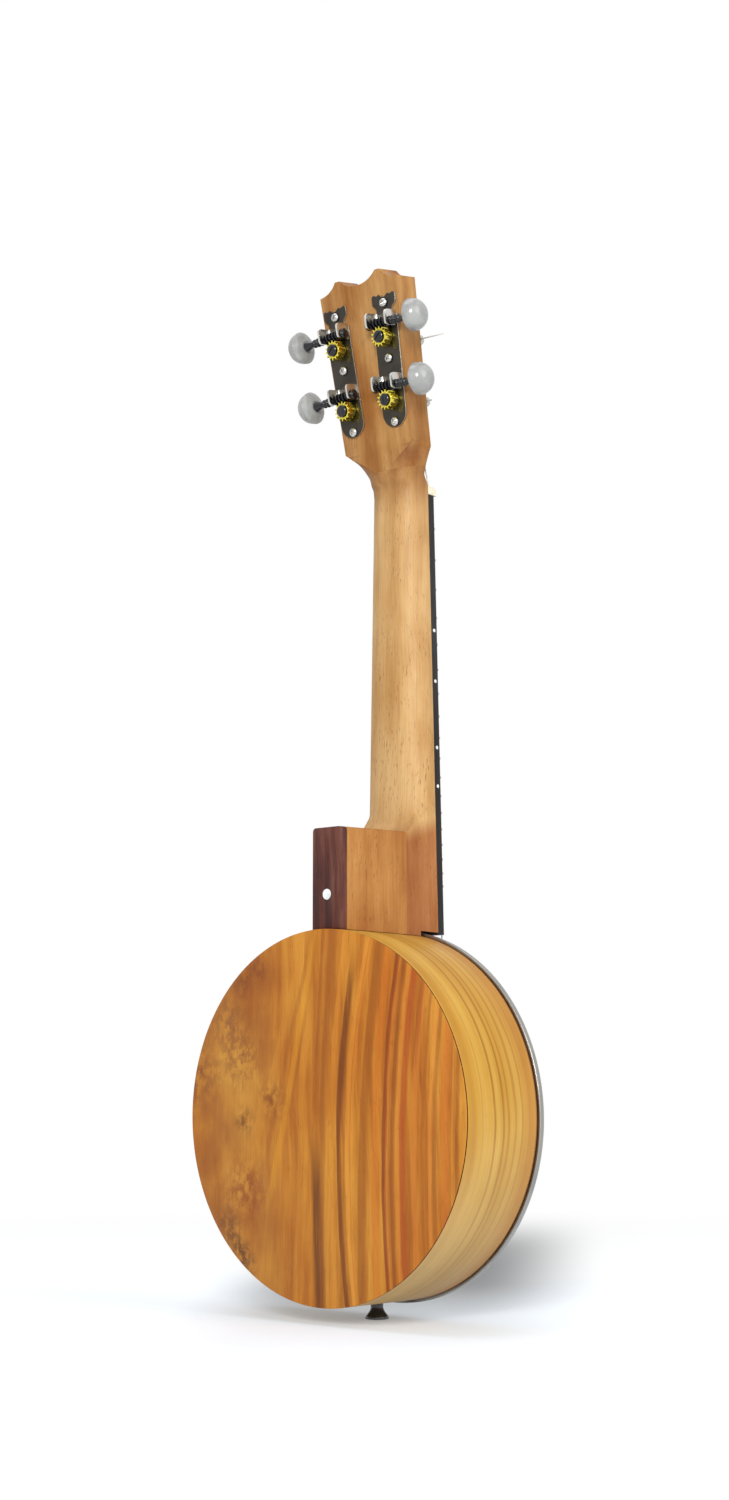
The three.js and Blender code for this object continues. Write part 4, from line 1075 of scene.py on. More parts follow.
def ring_pattern() -> Pattern:
    """Return a tree that sets an item evenly round an axis, with the first one lifted off its seat."""
    made = Pattern("evenly_round", {"Count": "Int", "Axis": "Vector", "First Lift": "Vector"})
    graph, given = made.graph, made.given
    line = graph.add("GeometryNodeMeshLine", {"Count": given["Count"], "Offset": (0.0, 0.0, 0.0)})
    index = graph.add("GeometryNodeInputIndex").outputs[0]
    first = graph.add("FunctionNodeCompare", {"A": index, "B": 0}, data_type="INT", operation="EQUAL")
    raised = graph.add("GeometryNodeSetPosition",
                       {"Geometry": line.outputs[0], "Offset": given["First Lift"],
                        "Selection": first.outputs[0]}).outputs[0]
    turn = graph.math("DIVIDE", graph.math("MULTIPLY", index, 2 * math.pi), given["Count"])
    rotation = graph.add("FunctionNodeAxisAngleToRotation", {"Axis": given["Axis"], "Angle": turn})
    placed = graph.add("GeometryNodeInstanceOnPoints",
                       {"Points": raised, "Instance": given["Geometry"],
                        "Rotation": rotation.outputs[0]}).outputs[0]
    return made.finish(placed)


def fret_pattern() -> Pattern:
    """Return a tree that sets a fret of unit width where each semitone falls on a tapering board."""
    measures = ("Nut Place", "Playing Length", "Nut Width", "Taper", "Inset")
    made = Pattern("semitones", {"Count": "Int"} | dict.fromkeys(measures, "Float"))
    graph, given = made.graph, made.given
    line = graph.add("GeometryNodeMeshLine", {"Count": given["Count"], "Offset": (0.0, 0.0, 0.0)})
    number = graph.math("ADD", graph.add("GeometryNodeInputIndex").outputs[0], 1.0)
    left = graph.math("POWER", 2.0, graph.math("DIVIDE", number, -12.0))
    run = graph.math("MULTIPLY", given["Playing Length"], graph.math("SUBTRACT", 1.0, left))
    place = graph.add("ShaderNodeCombineXYZ", {"Z": graph.math("SUBTRACT", given["Nut Place"], run)})
    wide = graph.math("MULTIPLY_ADD", run, given["Taper"], given["Nut Width"])
    wide = graph.math("MULTIPLY_ADD", given["Inset"], -2.0, wide)
    points = graph.add("GeometryNodeSetPosition", {"Geometry": line.outputs[0],
                                                   "Position": place.outputs[0]}).outputs[0]
    scale = graph.add("ShaderNodeCombineXYZ", {"X": wide, "Y": 1.0, "Z": 1.0}).outputs[0]
    placed = graph.add("GeometryNodeInstanceOnPoints",
                       {"Points": points, "Instance": given["Geometry"], "Scale": scale}).outputs[0]
    return made.finish(placed)


def path_pattern() -> Pattern:
    """Return a tree that sweeps a round section along a path of edges."""
    made = Pattern("round_sweep", {"Radius": "Float", "Sides": "Int"})
    graph, given = made.graph, made.given
    curve = graph.add("GeometryNodeMeshToCurve", {0: given["Geometry"]}).outputs[0]
    section = graph.add("GeometryNodeCurvePrimitiveCircle",
                        {"Resolution": given["Sides"], "Radius": given["Radius"]}).outputs[0]
    swept = graph.add("GeometryNodeCurveToMesh", {"Curve": curve, "Profile Curve": section,
                                                  "Fill Caps": True}).outputs[0]
    return made.finish(swept)


def carried(node: str, finish: Finish) -> None:
    """Give a solid that stays in sight its finish."""
    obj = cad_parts[node]
    obj.data.materials.clear()
    obj.data.materials.append(finish.material())
    log.info("kept %s", node)


def outward(bm: Mesh) -> Mesh:
    """Turn a mesh's faces outwards and return it."""
    bmesh.ops.recalc_face_normals(bm, faces=bm.faces)
    return bm


def cylinder(radius: float, low: float, high: float, axis: Axis, segments: int = Sides.bar) -> Mesh:
    """Return a plain round bar between two places on its axis."""
    return turned([(0.0, low), (radius, low), (radius, high), (0.0, high)], segments, axis)


def block(size: Vector, centre: Vector) -> Mesh:
    """Return a plain block."""
    bm = bmesh.new()
    bmesh.ops.create_cube(bm, size=1.0, matrix=Matrix.Translation(centre) @ Matrix.Diagonal((*size, 1.0)))
    return bm


def dowel_socket(gap: float) -> Mesh:
    """Return the cutter of the dowel stick's socket, with a gap all round."""
    low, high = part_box("dowel_stick")
    return block(high - low + Vector((2 * gap,) * 3), (low + high) / 2)


def bores(radius: float, low: float, high: float, axis: Axis, places: Sequence[Matrix | tuple],
          segments: int = Sides.bar) -> list[Mesh]:
    """Return the cutters of equal holes.

    Args:
        radius: The holes' radius.
        low: Where each starts on its axis.
        high: Where each ends.
        axis: The axis.
        places: Where the holes are.
        segments: How many sides each has.

    Returns:
        One cutter for each place.
    """
    return [moved(cylinder(radius, low, high, axis, segments), place) for place in places]


def lathe(name: str, corners: Sequence[Corner], segments: int, axis: Axis = Axis.Y, steps: int = 4,
          loop: bool = False) -> Item:
    """Ease a profile's corners and turn it.

    Args:
        name: The piece's name.
        corners: Radii and heights on the axis, with the length that is cut from a corner if it is eased.
        segments: How many sides the piece has.
        axis: The axis.
        steps: How many points an eased corner has beside its first.
        loop: Whether the profile closes on itself, as a ring's does.

    Returns:
        The turned piece.
    """
    return as_object(name, turned(rounded(corners, steps, loop), segments, axis, loop))


def cross_cut(screw: Item, width: float, reach: float, level: float, depth: float,
              turn: float) -> None:
    """Cut a cross slot in a screw head that looks along Y, one slot after the other.

    Args:
        screw: The screw.
        width: How wide each slot is.
        reach: How far the slots reach from the middle.
        level: Where the head's crown lies.
        depth: How deep the slots are.
        turn: The angle that the cross is turned by.
    """
    spin = Matrix.Rotation(turn, 4, "Y")
    for size in ((2 * reach, 2 * depth, width), (width, 2 * depth, 2 * reach)):
        worked(screw, [moved(block(Vector(size), Vector((0.0, level, 0.0))), spin)], Join.CUT)


@dataclass
class Studio:
    """The plain floor, the soft lamps and the camera."""

    camera_place: Corner = (-0.7758, 0.8306, 0.0219)
    camera_heading: float = math.radians(138.08)
    camera_pitch: float = math.radians(8.56)
    lens: float = 51.6
    sensor: float = 36.0
    clip: float = 0.01
    floor_half: float = 6.0
    floor_gap: float = 0.0002
    floor_glow: float = 0.34
    shade_near: float = 0.5
    shade_far: float = 1.0
    # The patch fields shape a painted shadow on the floor behind the body: where it lies, how wide it is and
    # how weak its glow is.
    painted_shadow_aside: float = 0.020
    painted_shadow_lean: float = 0.12
    painted_shadow_front: float = 0.25
    painted_shadow_core: float = 0.04
    painted_shadow_edge: float = 0.125
    painted_shadow_rise: Span = (-0.24, -0.02)
    painted_shadow_swell: Span = (0.0, 0.24)
    painted_shadow_end: Span = (1.2, 0.3)
    painted_shadow_glow: float = 0.02
    cloud_scale: float = 1.4
    cool_span: Span = (0.45, 0.15)
    world_light: float = 0.42
    middle: Corner = (0.0, -0.03, 0.15)
    lamps: tuple[tuple[str, Corner, float, float], ...] = (
        ("key_lamp", (-1.15, 1.55, 0.72), 0.6, 30.0), ("side_lamp", (-1.9, -0.2, 1.0), 1.2, 11.5),
        ("top_lamp", (0.3, 0.3, 2.2), 1.4, 10.5))

    def build(self) -> None:
        """Set up the camera, the lamps, the world and the floor."""
        self.camera()
        self.world()
        self.floor()
        for name, place, size, power in self.lamps:
            self.lamp(name, Vector(place), size, power)

    def camera(self) -> None:
        """Place the camera at the photograph's angle."""
        data = bpy.data.cameras.new("camera")
        data.sensor_fit = "VERTICAL"
        data.sensor_height = self.sensor
        data.lens = self.lens
        data.clip_start = self.clip
        camera = linked("camera", data)
        flat = math.cos(self.camera_pitch)
        gaze = Vector((math.sin(self.camera_heading) * flat, math.cos(self.camera_heading) * flat,
                       math.sin(self.camera_pitch)))
        camera.location = self.camera_place
        camera.rotation_euler = gaze.to_track_quat("-Z", "Y").to_euler()
        bpy.context.scene.camera = camera

    def lamp(self, name: str, place: Vector, size: float, power: float) -> None:
        """Add a soft square lamp that looks at the instrument's middle."""
        data = bpy.data.lights.new(name, "AREA")
        data.size = size
        data.energy = power
        lamp = linked(name, data)
        lamp.location = place
        lamp.rotation_euler = (Vector(self.middle) - place).to_track_quat("-Z", "Y").to_euler()

    def seen(self, graph: Graph) -> Socket:
        """Return 1 for what the eye, a mirror or glass sees and 0 for light that falls on things."""
        path = graph.add("ShaderNodeLightPath").outputs
        rays = graph.math("ADD", path["Is Camera Ray"], path["Is Glossy Ray"])
        return graph.math("ADD", rays, path["Is Transmission Ray"], clamp=True)

    def world(self) -> None:
        """Light the instrument from all around, and show white behind it."""
        world = bpy.data.worlds.new("studio")
        world.use_nodes = True
        world.node_tree.nodes.clear()
        graph = Graph(world.node_tree)
        light = graph.add("ShaderNodeBackground", {"Color": "f4f4f2", "Strength": self.world_light})
        white = graph.add("ShaderNodeBackground", {"Color": "ffffff", "Strength": 1.0})
        both = graph.add("ShaderNodeMixShader",
                         {0: self.seen(graph), 1: light.outputs[0], 2: white.outputs[0]})
        graph.add("ShaderNodeOutputWorld", {"Surface": both.outputs[0]})
        bpy.context.scene.world = world
        bpy.context.scene.view_settings.view_transform = "Standard"

    def painted_shadow(self, graph: Graph, place: Socket) -> Socket:
        """Return how deep a point of the floor lies in the painted shadow that trails behind the body.

        Args:
            graph: The floor's graph.
            place: Where the point is on the floor.

        Returns:
            1 in the middle of the shade and 0 outside it.
        """
        ahead = (math.sin(self.camera_heading), math.cos(self.camera_heading), 0.0)
        right = (ahead[1], -ahead[0], 0.0)
        onward = graph.vector("DOT_PRODUCT", place, ahead)
        sideways = graph.vector("DOT_PRODUCT", place, right)
        middle = graph.math("MULTIPLY_ADD", onward, self.painted_shadow_lean, self.painted_shadow_aside)
        off = graph.math("ABSOLUTE", graph.math("SUBTRACT", sideways, middle))
        wide = graph.ease(off, self.painted_shadow_edge, self.painted_shadow_core)
        start = graph.product(graph.ease(onward, *self.painted_shadow_rise), self.painted_shadow_front)
        start = graph.math("MULTIPLY_ADD", graph.ease(onward, *self.painted_shadow_swell), 1.0 - self.painted_shadow_front,
                           start)
        return graph.product(wide, start, graph.ease(onward, *self.painted_shadow_end))

    def floor(self) -> None:
        """Lay a pale floor under the lowest point, bright enough to meet the white behind it, with a painted
        shadow trailing behind the body.
        """
        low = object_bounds()[0]
        bm = bmesh.new()
        bmesh.ops.create_grid(bm, x_segments=2, y_segments=2, size=self.floor_half,
                              matrix=Matrix.Translation((0.0, 0.0, low[2] - self.floor_gap)))
        floor = as_object("studio_floor", bm)
        made = bpy.data.materials.new("studio_floor")
        made.use_nodes = True
        made.node_tree.nodes.clear()
        graph = Graph(made.node_tree)
        place = graph.add("ShaderNodeTexCoord").outputs["Object"]
        painted_shadow = self.painted_shadow(graph, place)
        away = graph.vector("LENGTH", place)
        cloud = graph.mix(graph.noise(place, self.cloud_scale), "f0f1f2", "f5f6f7")
        # Cooler near the body: a painted correction that cancels the warm light bounced from the wood onto
        # the floor.
        cloud = graph.mix(graph.ease(away, *self.cool_span), cloud, "e6eef8")
        # Painted shadow: the floor's colour turns grey inside the patch.
        cloud = graph.mix(painted_shadow, cloud, "b4b5b7")
        matte = graph.add("ShaderNodeBsdfDiffuse", {"Color": cloud})
        # The glow fades inside the painted shadow so that it stays grey.
        strength = graph.math("MULTIPLY_ADD", painted_shadow, self.painted_shadow_glow - self.floor_glow, self.floor_glow)
        glow = graph.add("ShaderNodeEmission", {"Color": "ffffff", "Strength": strength})
        near = graph.add("ShaderNodeAddShader", {0: matte.outputs[0], 1: glow.outputs[0]})
        white = graph.add("ShaderNodeEmission", {"Color": "ffffff", "Strength": 1.0})
        far = graph.ease(away, self.shade_near, self.shade_far)
        sight = graph.add("ShaderNodeMixShader", {0: far, 1: near.outputs[0], 2: white.outputs[0]})
        both = graph.add("ShaderNodeMixShader",
                         {0: self.seen(graph), 1: matte.outputs[0], 2: sight.outputs[0]})
        graph.add("ShaderNodeOutputMaterial", {"Surface": both.outputs[0]})
        floor.data.materials.append(made)
        floor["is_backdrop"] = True


@dataclass
class Body:
    """The rim, its back, the drum head and all that draws the head down."""

    wall: float = 0.0130
    spigot_wall: float = 0.0040
    seam: float = 0.0008
    board_edge: float = 0.0004
    lap: float = 0.0030
    edge: float = 0.0006
    seat_gap: float = 0.0003
    film: float = 0.0006
    flesh_ring_width: float = 0.0026
    flesh_ring_height: float = 0.0022
    skirt: float = 0.0020
    flange: float = 0.0016
    screw_count: int = 9
    screw_radius: float = 0.0015
    screw_head_radius: float = 0.0026
    screw_head_height: float = 0.0018
    slot_width: float = 0.0007
    slot_reach: float = 0.0017
    slot_turn: float = 0.3
    film_gap: float = 0.0001
    button_radius: float = 0.0065
    button_bore: float = 0.0023
    button_screw: float = 0.0020
    button_waist: float = 0.0033
    button_foot: float = 0.0035
    tail_lift: float = 0.0015
    tail_metal: float = 0.0012
    tail_foot: float = 0.0095
    tail_bore: float = 0.0007
    tail_rise: ClassVar[float] = 0.0052
    grain_radius: float = 0.0950

    def __post_init__(self) -> None:
        """Read the main places from the solids."""
        low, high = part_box("rim")
        self.radius, self.back, self.bearing = high.x, high.y, low.y
        self.inner = self.radius - self.wall
        self.rebate = self.radius - self.lap
        self.spigot = self.inner + self.spigot_wall
        hoop_low, hoop_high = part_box("tension_hoop")
        self.hoop_radius, self.hoop_back, self.hoop_front = hoop_high.x, hoop_high.y, hoop_low.y
        self.front = self.hoop_back + self.seat_gap
        self.ring_inner = self.spigot + self.seat_gap
        self.ring_outer = self.ring_inner + self.flesh_ring_width
        self.screw_circle = (self.ring_outer + self.hoop_radius - self.skirt) / 2

    def build(self) -> None:
        """Make every piece of the body."""
        self.make_rim()
        self.make_back()
        self.make_head()
        self.make_hoop()
        self.make_head_screws()
        self.make_strap_button()
        self.make_tailpiece()
        carried("dowel_stick", Finishes.dowel)

    def screw_bores(self) -> list[Mesh]:
        """Return the cutters of the head screws' holes."""
        turns = [2 * math.pi * i / self.screw_count for i in range(self.screw_count)]
        places = [(self.screw_circle * math.sin(t), 0.0, -self.screw_circle * math.cos(t)) for t in turns]
        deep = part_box("head_screw_1")[1].y + self.seat_gap
        return bores(self.screw_radius + self.seat_gap, self.hoop_front - self.wall, deep, Axis.Y,
                     places, Sides.bore)

    def make_rim(self) -> None:
        """Turn the rim and bore it for its dowel, strap button and screws."""
        seat, step = self.back - self.seam, -self.board_edge - self.seam
        rim = lathe("rim_shell", [
            (self.inner, seat), (self.rebate, seat), (self.rebate, step),
            (self.radius, step, self.edge / 4), (self.radius, self.front, self.edge),
            (self.spigot, self.front), (self.spigot, self.bearing, self.edge),
            (self.inner, self.bearing, self.edge)], Sides.rim, loop=True)
        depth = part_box("strap_button")[1].y - self.button_radius
        hole = bores(self.button_bore, -self.radius - self.wall, -self.inner + self.wall / 2, Axis.Z,
                     [(0.0, depth, 0.0)], Sides.hole)
        worked(rim, [dowel_socket(self.seat_gap), *hole, *self.screw_bores()], Join.CUT)
        dressed(rim, Finishes.rim, ["rim"])

    def make_back(self) -> None:
        """Turn the figured back and the dark glue seam that shows round it."""
        low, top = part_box("back_plate")[0].y, -self.board_edge
        let_in, line = self.rebate - self.seat_gap, self.radius - self.edge / 8
        board = lathe("back_board", [
            (0.0, low), (let_in, low), (let_in, top), (self.radius, top, self.edge / 4),
            (self.radius, 0.0, self.edge / 3), (0.0, 0.0)], Sides.rim)
        dressed(board, Finishes.back, ["back_plate"])
        seam = lathe("back_seam", [(self.rebate, top), (line, top), (line, top - self.seam),
                                   (self.rebate, top - self.seam)], Sides.rim, loop=True)
        dressed(seam, Finishes.seam)

    def make_head(self) -> None:
        """Turn the drum head with its flesh ring."""
        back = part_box("drum_head")[1].y
        film_back = self.bearing - self.film_gap
        film_front, ring_front = film_back - self.film, back - self.flesh_ring_height
        bend = self.ring_inner + self.film
        skin = lathe("drum_skin", [
            (0.0, film_back), (self.ring_inner, film_back), (self.ring_inner, back, Cut.fine),
            (self.ring_outer, back, self.edge), (self.ring_outer, ring_front, self.edge),
            (bend, ring_front, Cut.fine), (bend, film_front), (0.0, film_front)], Sides.film)
        dressed(skin, Finishes.film, ["drum_head"])

    def make_hoop(self) -> None:
        """Turn the tension hoop with its rounded outer edge and bore it for its screws."""
        skirt_inner = self.hoop_radius - self.skirt
        flange_back = self.hoop_front + self.flange
        flange_inner = self.ring_inner + self.film + self.seat_gap
        hoop = lathe("tension_ring", [
            (skirt_inner, self.hoop_back, Cut.small), (self.hoop_radius, self.hoop_back, Cut.soft),
            (self.hoop_radius, self.hoop_front, Cut.wide), (flange_inner, self.hoop_front, Cut.soft),
            (flange_inner, flange_back, Cut.small), (skirt_inner, flange_back)], Sides.rim, loop=True)
        worked(hoop, self.screw_bores(), Join.CUT)
        dressed(hoop, Finishes.hoop, ["tension_hoop"])

    def make_head_screws(self) -> None:
        """Turn one cross-headed screw and set it round the hoop, the tail's one over the tailpiece."""
        low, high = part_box("head_screw_1")
        shank, head = self.screw_radius, self.screw_head_radius
        seat, tip = low.y + self.screw_head_height, high.y
        screw = lathe("head_screws", [
            (0.0, tip), (shank / 2, tip), (shank, tip - shank), (shank, seat), (head, seat, Cut.fine),
            (head, lerp(seat, low.y, 0.45), Cut.light), (head * 0.55, low.y, Cut.broad),
            (0.0, low.y)], Sides.pin)
        cross_cut(screw, self.slot_width, self.slot_reach, low.y, self.screw_head_height * 0.6,
                  self.slot_turn)
        screw.data.transform(Matrix.Translation((0.0, 0.0, -self.screw_circle)))
        ring_pattern().applied(screw, Finishes.nickel, Count=self.screw_count, Axis=(0.0, 1.0, 0.0),
                               First_Lift=(0.0, -self.tail_lift, 0.0))
        dressed(screw, Finishes.nickel, [f"head_screw_{i + 1}" for i in range(self.screw_count)])

    def make_strap_button(self) -> None:
        """Turn the flared strap button with its screw."""
        low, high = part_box("strap_button")
        flange, screw, waist = (high.y - low.y) / 2, self.button_screw, self.button_waist
        seat = -(self.radius + self.seat_gap)
        button = lathe("tail_button", [
            (0.0, low.z), (flange, low.z, Cut.flare), (flange, lerp(low.z, seat, 0.16), Cut.medium),
            (lerp(waist, flange, 0.25), lerp(low.z, seat, 0.46), Cut.wide),
            (waist, lerp(low.z, seat, 0.72), Cut.broad), (self.button_foot, seat, Cut.small),
            (screw, seat), (screw, high.z - screw), (0.0, high.z)], Sides.post, Axis.Z)
        button.data.transform(Matrix.Translation((0.0, (low.y + high.y) / 2, 0.0)))
        dressed(button, Finishes.dark, ["strap_button"])

    def make_tailpiece(self) -> None:
        """Bend the tailpiece up from its foot, drill it for the strings and round its edges."""
        low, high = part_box("tailpiece")
        metal, under, top = self.tail_metal, high.y, high.z
        bend, over = low.z + self.tail_foot, under - self.tail_rise
        outline = [(under, low.z), (under, bend), (over, bend + self.tail_rise), (over, top),
                   (over - metal, top), (over - metal, bend + self.tail_rise - metal / 2),
                   (under - metal, bend - metal / 2), (under - metal, low.z)]
        piece = as_object("tail_bracket", rail(outline, high.x - low.x))
        holes = bores(self.tail_bore, low.y - metal, under, Axis.Y,
                      [(string.tail_x, 0.0, StringSet.tail_hole(top)) for string in STRINGS], Sides.drill)
        holes += bores(self.screw_radius + self.seat_gap, low.y - metal, under + metal, Axis.Y,
                       [(0.0, 0.0, -self.screw_circle)], Sides.hole)
        worked(piece, holes, Join.CUT)
        eased(piece, Cut.small)
        dressed(piece, Finishes.nickel, ["tailpiece"])


@dataclass
class Neck:
    """The neck with its stacked heel, fingerboard and nut."""

    nut_width: float = 0.0350
    nut_thickness: float = 0.0050
    scale: float = 0.3420
    thickness: float = 0.0150
    heel_fillet: float = 0.0080
    heel_carve: float = 0.0140
    carve_rings: int = 28
    carve_crowding: float = 1.6
    shaft_rings: int = 12
    cap_width: float = 0.0204
    cap_ease: float = 0.00025
    corner: float = 0.0020
    glue: float = 0.0001
    gap: float = 0.0003
    bow: float = 2.3
    shoulder_bow: float = 1.5
    hoop_notch: float = 0.0014
    rim_reach: tuple[float, float] = (-0.0800, 0.0100)
    hoop_reach: tuple[float, float] = (-0.0900, -0.0558)
    frets: int = 18
    fret_width: float = 0.0020
    fret_height: float = 0.0010
    fret_inset: float = 0.0004
    ring_steps: int = 33
    marked_frets: tuple[int, ...] = (5, 7, 10, 12)
    dot_radius: float = 0.0010
    dot_proud: float = 0.00005
    dot_depth: float = 0.0006

    def __post_init__(self) -> None:
        """Read the main places from the solids."""
        board_low, board_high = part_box("fingerboard")
        self.board_end, self.nut_z = board_low.z, board_high.z
        self.board_back = board_high.y
        self.board_front = board_low.y + self.fret_height
        self.board_depth = -(board_high.y + self.glue)
        self.end_width = board_high.x - board_low.x
        self.taper = (self.end_width - self.nut_width) / (self.nut_z - self.board_end)
        cap_low, cap_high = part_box("heel_cap")
        block_low, block_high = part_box("heel_block")
        self.heel_inset, self.cap_front = -cap_high.y, -cap_low.y
        self.block_front, self.heel_top = -block_low.y, block_high.z
        self.lean = (self.end_width - self.cap_width) / 2 / (self.board_depth - self.heel_inset)
        self.rim_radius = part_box("rim")[1].x
        self.hoop_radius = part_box("tension_hoop")[1].x

    def build(self) -> None:
        """Make every piece of the neck."""
        self.make_shaft()
        self.make_heel()
        self.make_board()
        self.make_nut()

    def half(self, z: float) -> float:
        """Return half the fingerboard's width at a height."""
        return (self.nut_width + self.taper * (self.nut_z - z)) / 2

    def section(self, z: float, half: float, front: float, thickness: float, flat: float = 0.0,
                power: float = 2.3, square: float = 0.0, lean: float = 0.0) -> list[Vector]:
        """Return one cross-section of the neck or the headstock's root.

        Args:
            z: Its height.
            half: Half its width.
            front: How deep its flat front lies.
            thickness: How thick it is.
            flat: Half the width of a flat on its back.
            power: How full its back is.
            square: How square it is, from 0 for bowed to 1.
            lean: How much its sides draw in towards the back.

        Returns:
            Its corners.
        """
        points = []
        for i in range(2 * self.ring_steps + 1):
            step = abs(i - self.ring_steps)
            turn = math.pi / 2 * max(0.0, (step - 1) / (self.ring_steps - 1))
            out, back = math.sin(turn), max(0.0, math.cos(turn))
            edge = max(out, back)
            reach = lerp(back ** (2 / power), back / edge, square) * thickness
            side = half - lean * reach
            across = lerp(flat + (side - flat) * out ** (2 / power), side * out / edge, square)
            sign = (i < self.ring_steps) - (i > self.ring_steps)
            points.append(Vector((sign * across, -(front - reach), z)))
        return points

    def shaft_section(self, z: float) -> list[Vector]:
        """Return the neck's section at a height, square in the heel and bowed above it."""
        heel = self.board_depth - self.block_front - self.glue
        left = share_of(self.heel_top + self.heel_fillet, self.heel_top, z)
        fillet = 1 - math.sqrt(1 - left ** 2)
        square = 1 - smooth(self.heel_top, self.heel_top + self.heel_carve, z)
        return self.section(z, self.half(z), self.board_depth, lerp(self.thickness, heel, fillet),
                            square=square, lean=self.lean * square)

    def scribes(self) -> list[Mesh]:
        """Return the rim and hoop, with their clearances, that the heel is cut to."""
        rim = cylinder(self.rim_radius + self.gap, *self.rim_reach, Axis.Y, Sides.rim)
        hoop = cylinder(self.hoop_radius + self.hoop_notch, *self.hoop_reach, Axis.Y, Sides.rim)
        return [rim, hoop]

    def cut_to_rim(self, obj: Item, dowel: bool) -> None:
        """Cut the rim's curve, and where it is wanted the dowel's socket, out of a piece."""
        for tool in self.scribes():
            worked(obj, [tool], Join.CUT)
        if dowel:
            worked(obj, [dowel_socket(self.gap)], Join.CUT)

    def make_shaft(self) -> None:
        """Carve the neck from the heel up to its joint with the headstock."""
        rings = [self.shaft_section(self.rim_radius / 2), self.shaft_section(self.heel_top)]
        for i in range(1, self.carve_rings + 1):
            share = (i / self.carve_rings) ** self.carve_crowding
            rings.append(self.shaft_section(self.heel_top + self.heel_carve * share))
        for i in range(1, self.shaft_rings + 1):
            z = lerp(self.heel_top + self.heel_carve, self.nut_z, i / self.shaft_rings)
            rings.append(self.shaft_section(z))
        top = self.nut_z + self.nut_thickness
        rings.append(self.section(top, self.nut_width / 2, self.board_depth,
                                  self.thickness + self.nut_thickness * math.tan(Headstock.tilt)))
        head = Headstock()
        low = self.nut_thickness + Headstock.crest_drop
        for i in range(self.shaft_rings + 1):
            ring = head.throat_section(self, lerp(low, Headstock.joint_s, i / self.shaft_rings))
            rings.append([head.place @ point for point in ring])
        neck = as_object("neck_shaft", skinned(rings))
        self.cut_to_rim(neck, dowel=True)
        dressed(neck, Finishes.neck, ["neck"], crease=40)

    def heel_outline(self, depth: float, steps: int = 8) -> list[Vector]:
        """Return the heel's outline at a depth, with its two top corners rounded."""
        half = self.cap_width / 2 + self.lean * (depth - self.heel_inset)
        low = self.rim_radius / 2
        corner = [(half - self.corner * (1 - math.cos(t)), self.heel_top - self.corner * (1 - math.sin(t)))
                  for t in arc(steps)]
        return [Vector((x, -depth, z)) for x, z in mirrored([(half, low), *corner])]

    def make_heel(self) -> None:
        """Make the heel's middle slab, its dark cap and the pearl dot."""
        core = as_object("heel_core", skinned([self.heel_outline(self.cap_front + self.glue),
                                               self.heel_outline(self.block_front)]))
        self.cut_to_rim(core, dowel=True)
        dressed(core, Finishes.heel, ["heel_block"])
        cap = as_object("heel_cover", skinned([self.heel_outline(self.heel_inset),
                                               self.heel_outline(self.cap_front)]))
        self.cut_to_rim(cap, dowel=False)
        low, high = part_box("heel_dot")
        centre, radius = (low + high) / 2, (high.x - low.x) / 2
        worked(cap, bores(radius + self.glue, low.y - self.glue, 0.0, Axis.Y, [(0.0, 0.0, centre.z)]),
               Join.CUT)
        eased(cap, self.cap_ease, 2)
        dressed(cap, Finishes.cap, ["heel_cap"])
        dot = lathe("heel_pearl", [(0.0, low.y), (radius, low.y), (radius, high.y, Cut.fine),
                                   (0.0, high.y)], Sides.bar)
        dot.data.transform(Matrix.Translation((0.0, 0.0, centre.z)))
        dressed(dot, Finishes.dot, ["heel_dot"])

    def fret_place(self, number: float) -> float:
        """Return the height of a fret, counted from the nut."""
        return self.nut_z - self.scale * (1 - 2 ** (-number / 12))

    def make_board(self) -> None:
        """Make the fingerboard, its frets and the dots on its bass edge."""
        nut, end = self.nut_width / 2, self.end_width / 2
        outline = [(-nut, self.nut_z), (nut, self.nut_z), (end, self.board_end), (-end, self.board_end)]
        board = as_object("finger_board", slab(outline, self.board_front, self.board_back))
        eased(board, Cut.small)
        dressed(board, Finishes.board, ["fingerboard"])
        low, top = self.board_front + self.fret_inset, self.board_front - self.fret_height
        foot, bead, front = self.fret_width / 2, self.fret_width * 0.3, self.board_front
        crown = rounded([(low, -foot), (front, -foot), (top, -bead, Cut.medium), (top, bead, Cut.medium),
                         (front, foot), (low, foot)], 3, loop=True)
        frets = as_object("frets", rail(crown, 1.0))
        fret_pattern().applied(frets, Finishes.nickel, Count=self.frets, Nut_Place=self.nut_z,
                               Playing_Length=self.scale, Nut_Width=self.nut_width,
                               Taper=self.taper, Inset=self.fret_inset)
        dressed(frets, Finishes.nickel)
        dots = []
        for number in self.marked_frets:
            z = (self.fret_place(number) + self.fret_place(number - 1)) / 2
            dot = cylinder(self.dot_radius, -self.dot_proud, self.dot_depth, Axis.X, Sides.hole)
            turn = Matrix.Rotation(math.atan(self.taper / 2), 4, "Y")
            middle = Vector((-self.half(z), (self.board_front + self.board_back) / 2, z))
            dots.append(moved(dot, Matrix.Translation(middle) @ turn))
        dressed(as_object("side_dots", together(dots)), Finishes.dot)

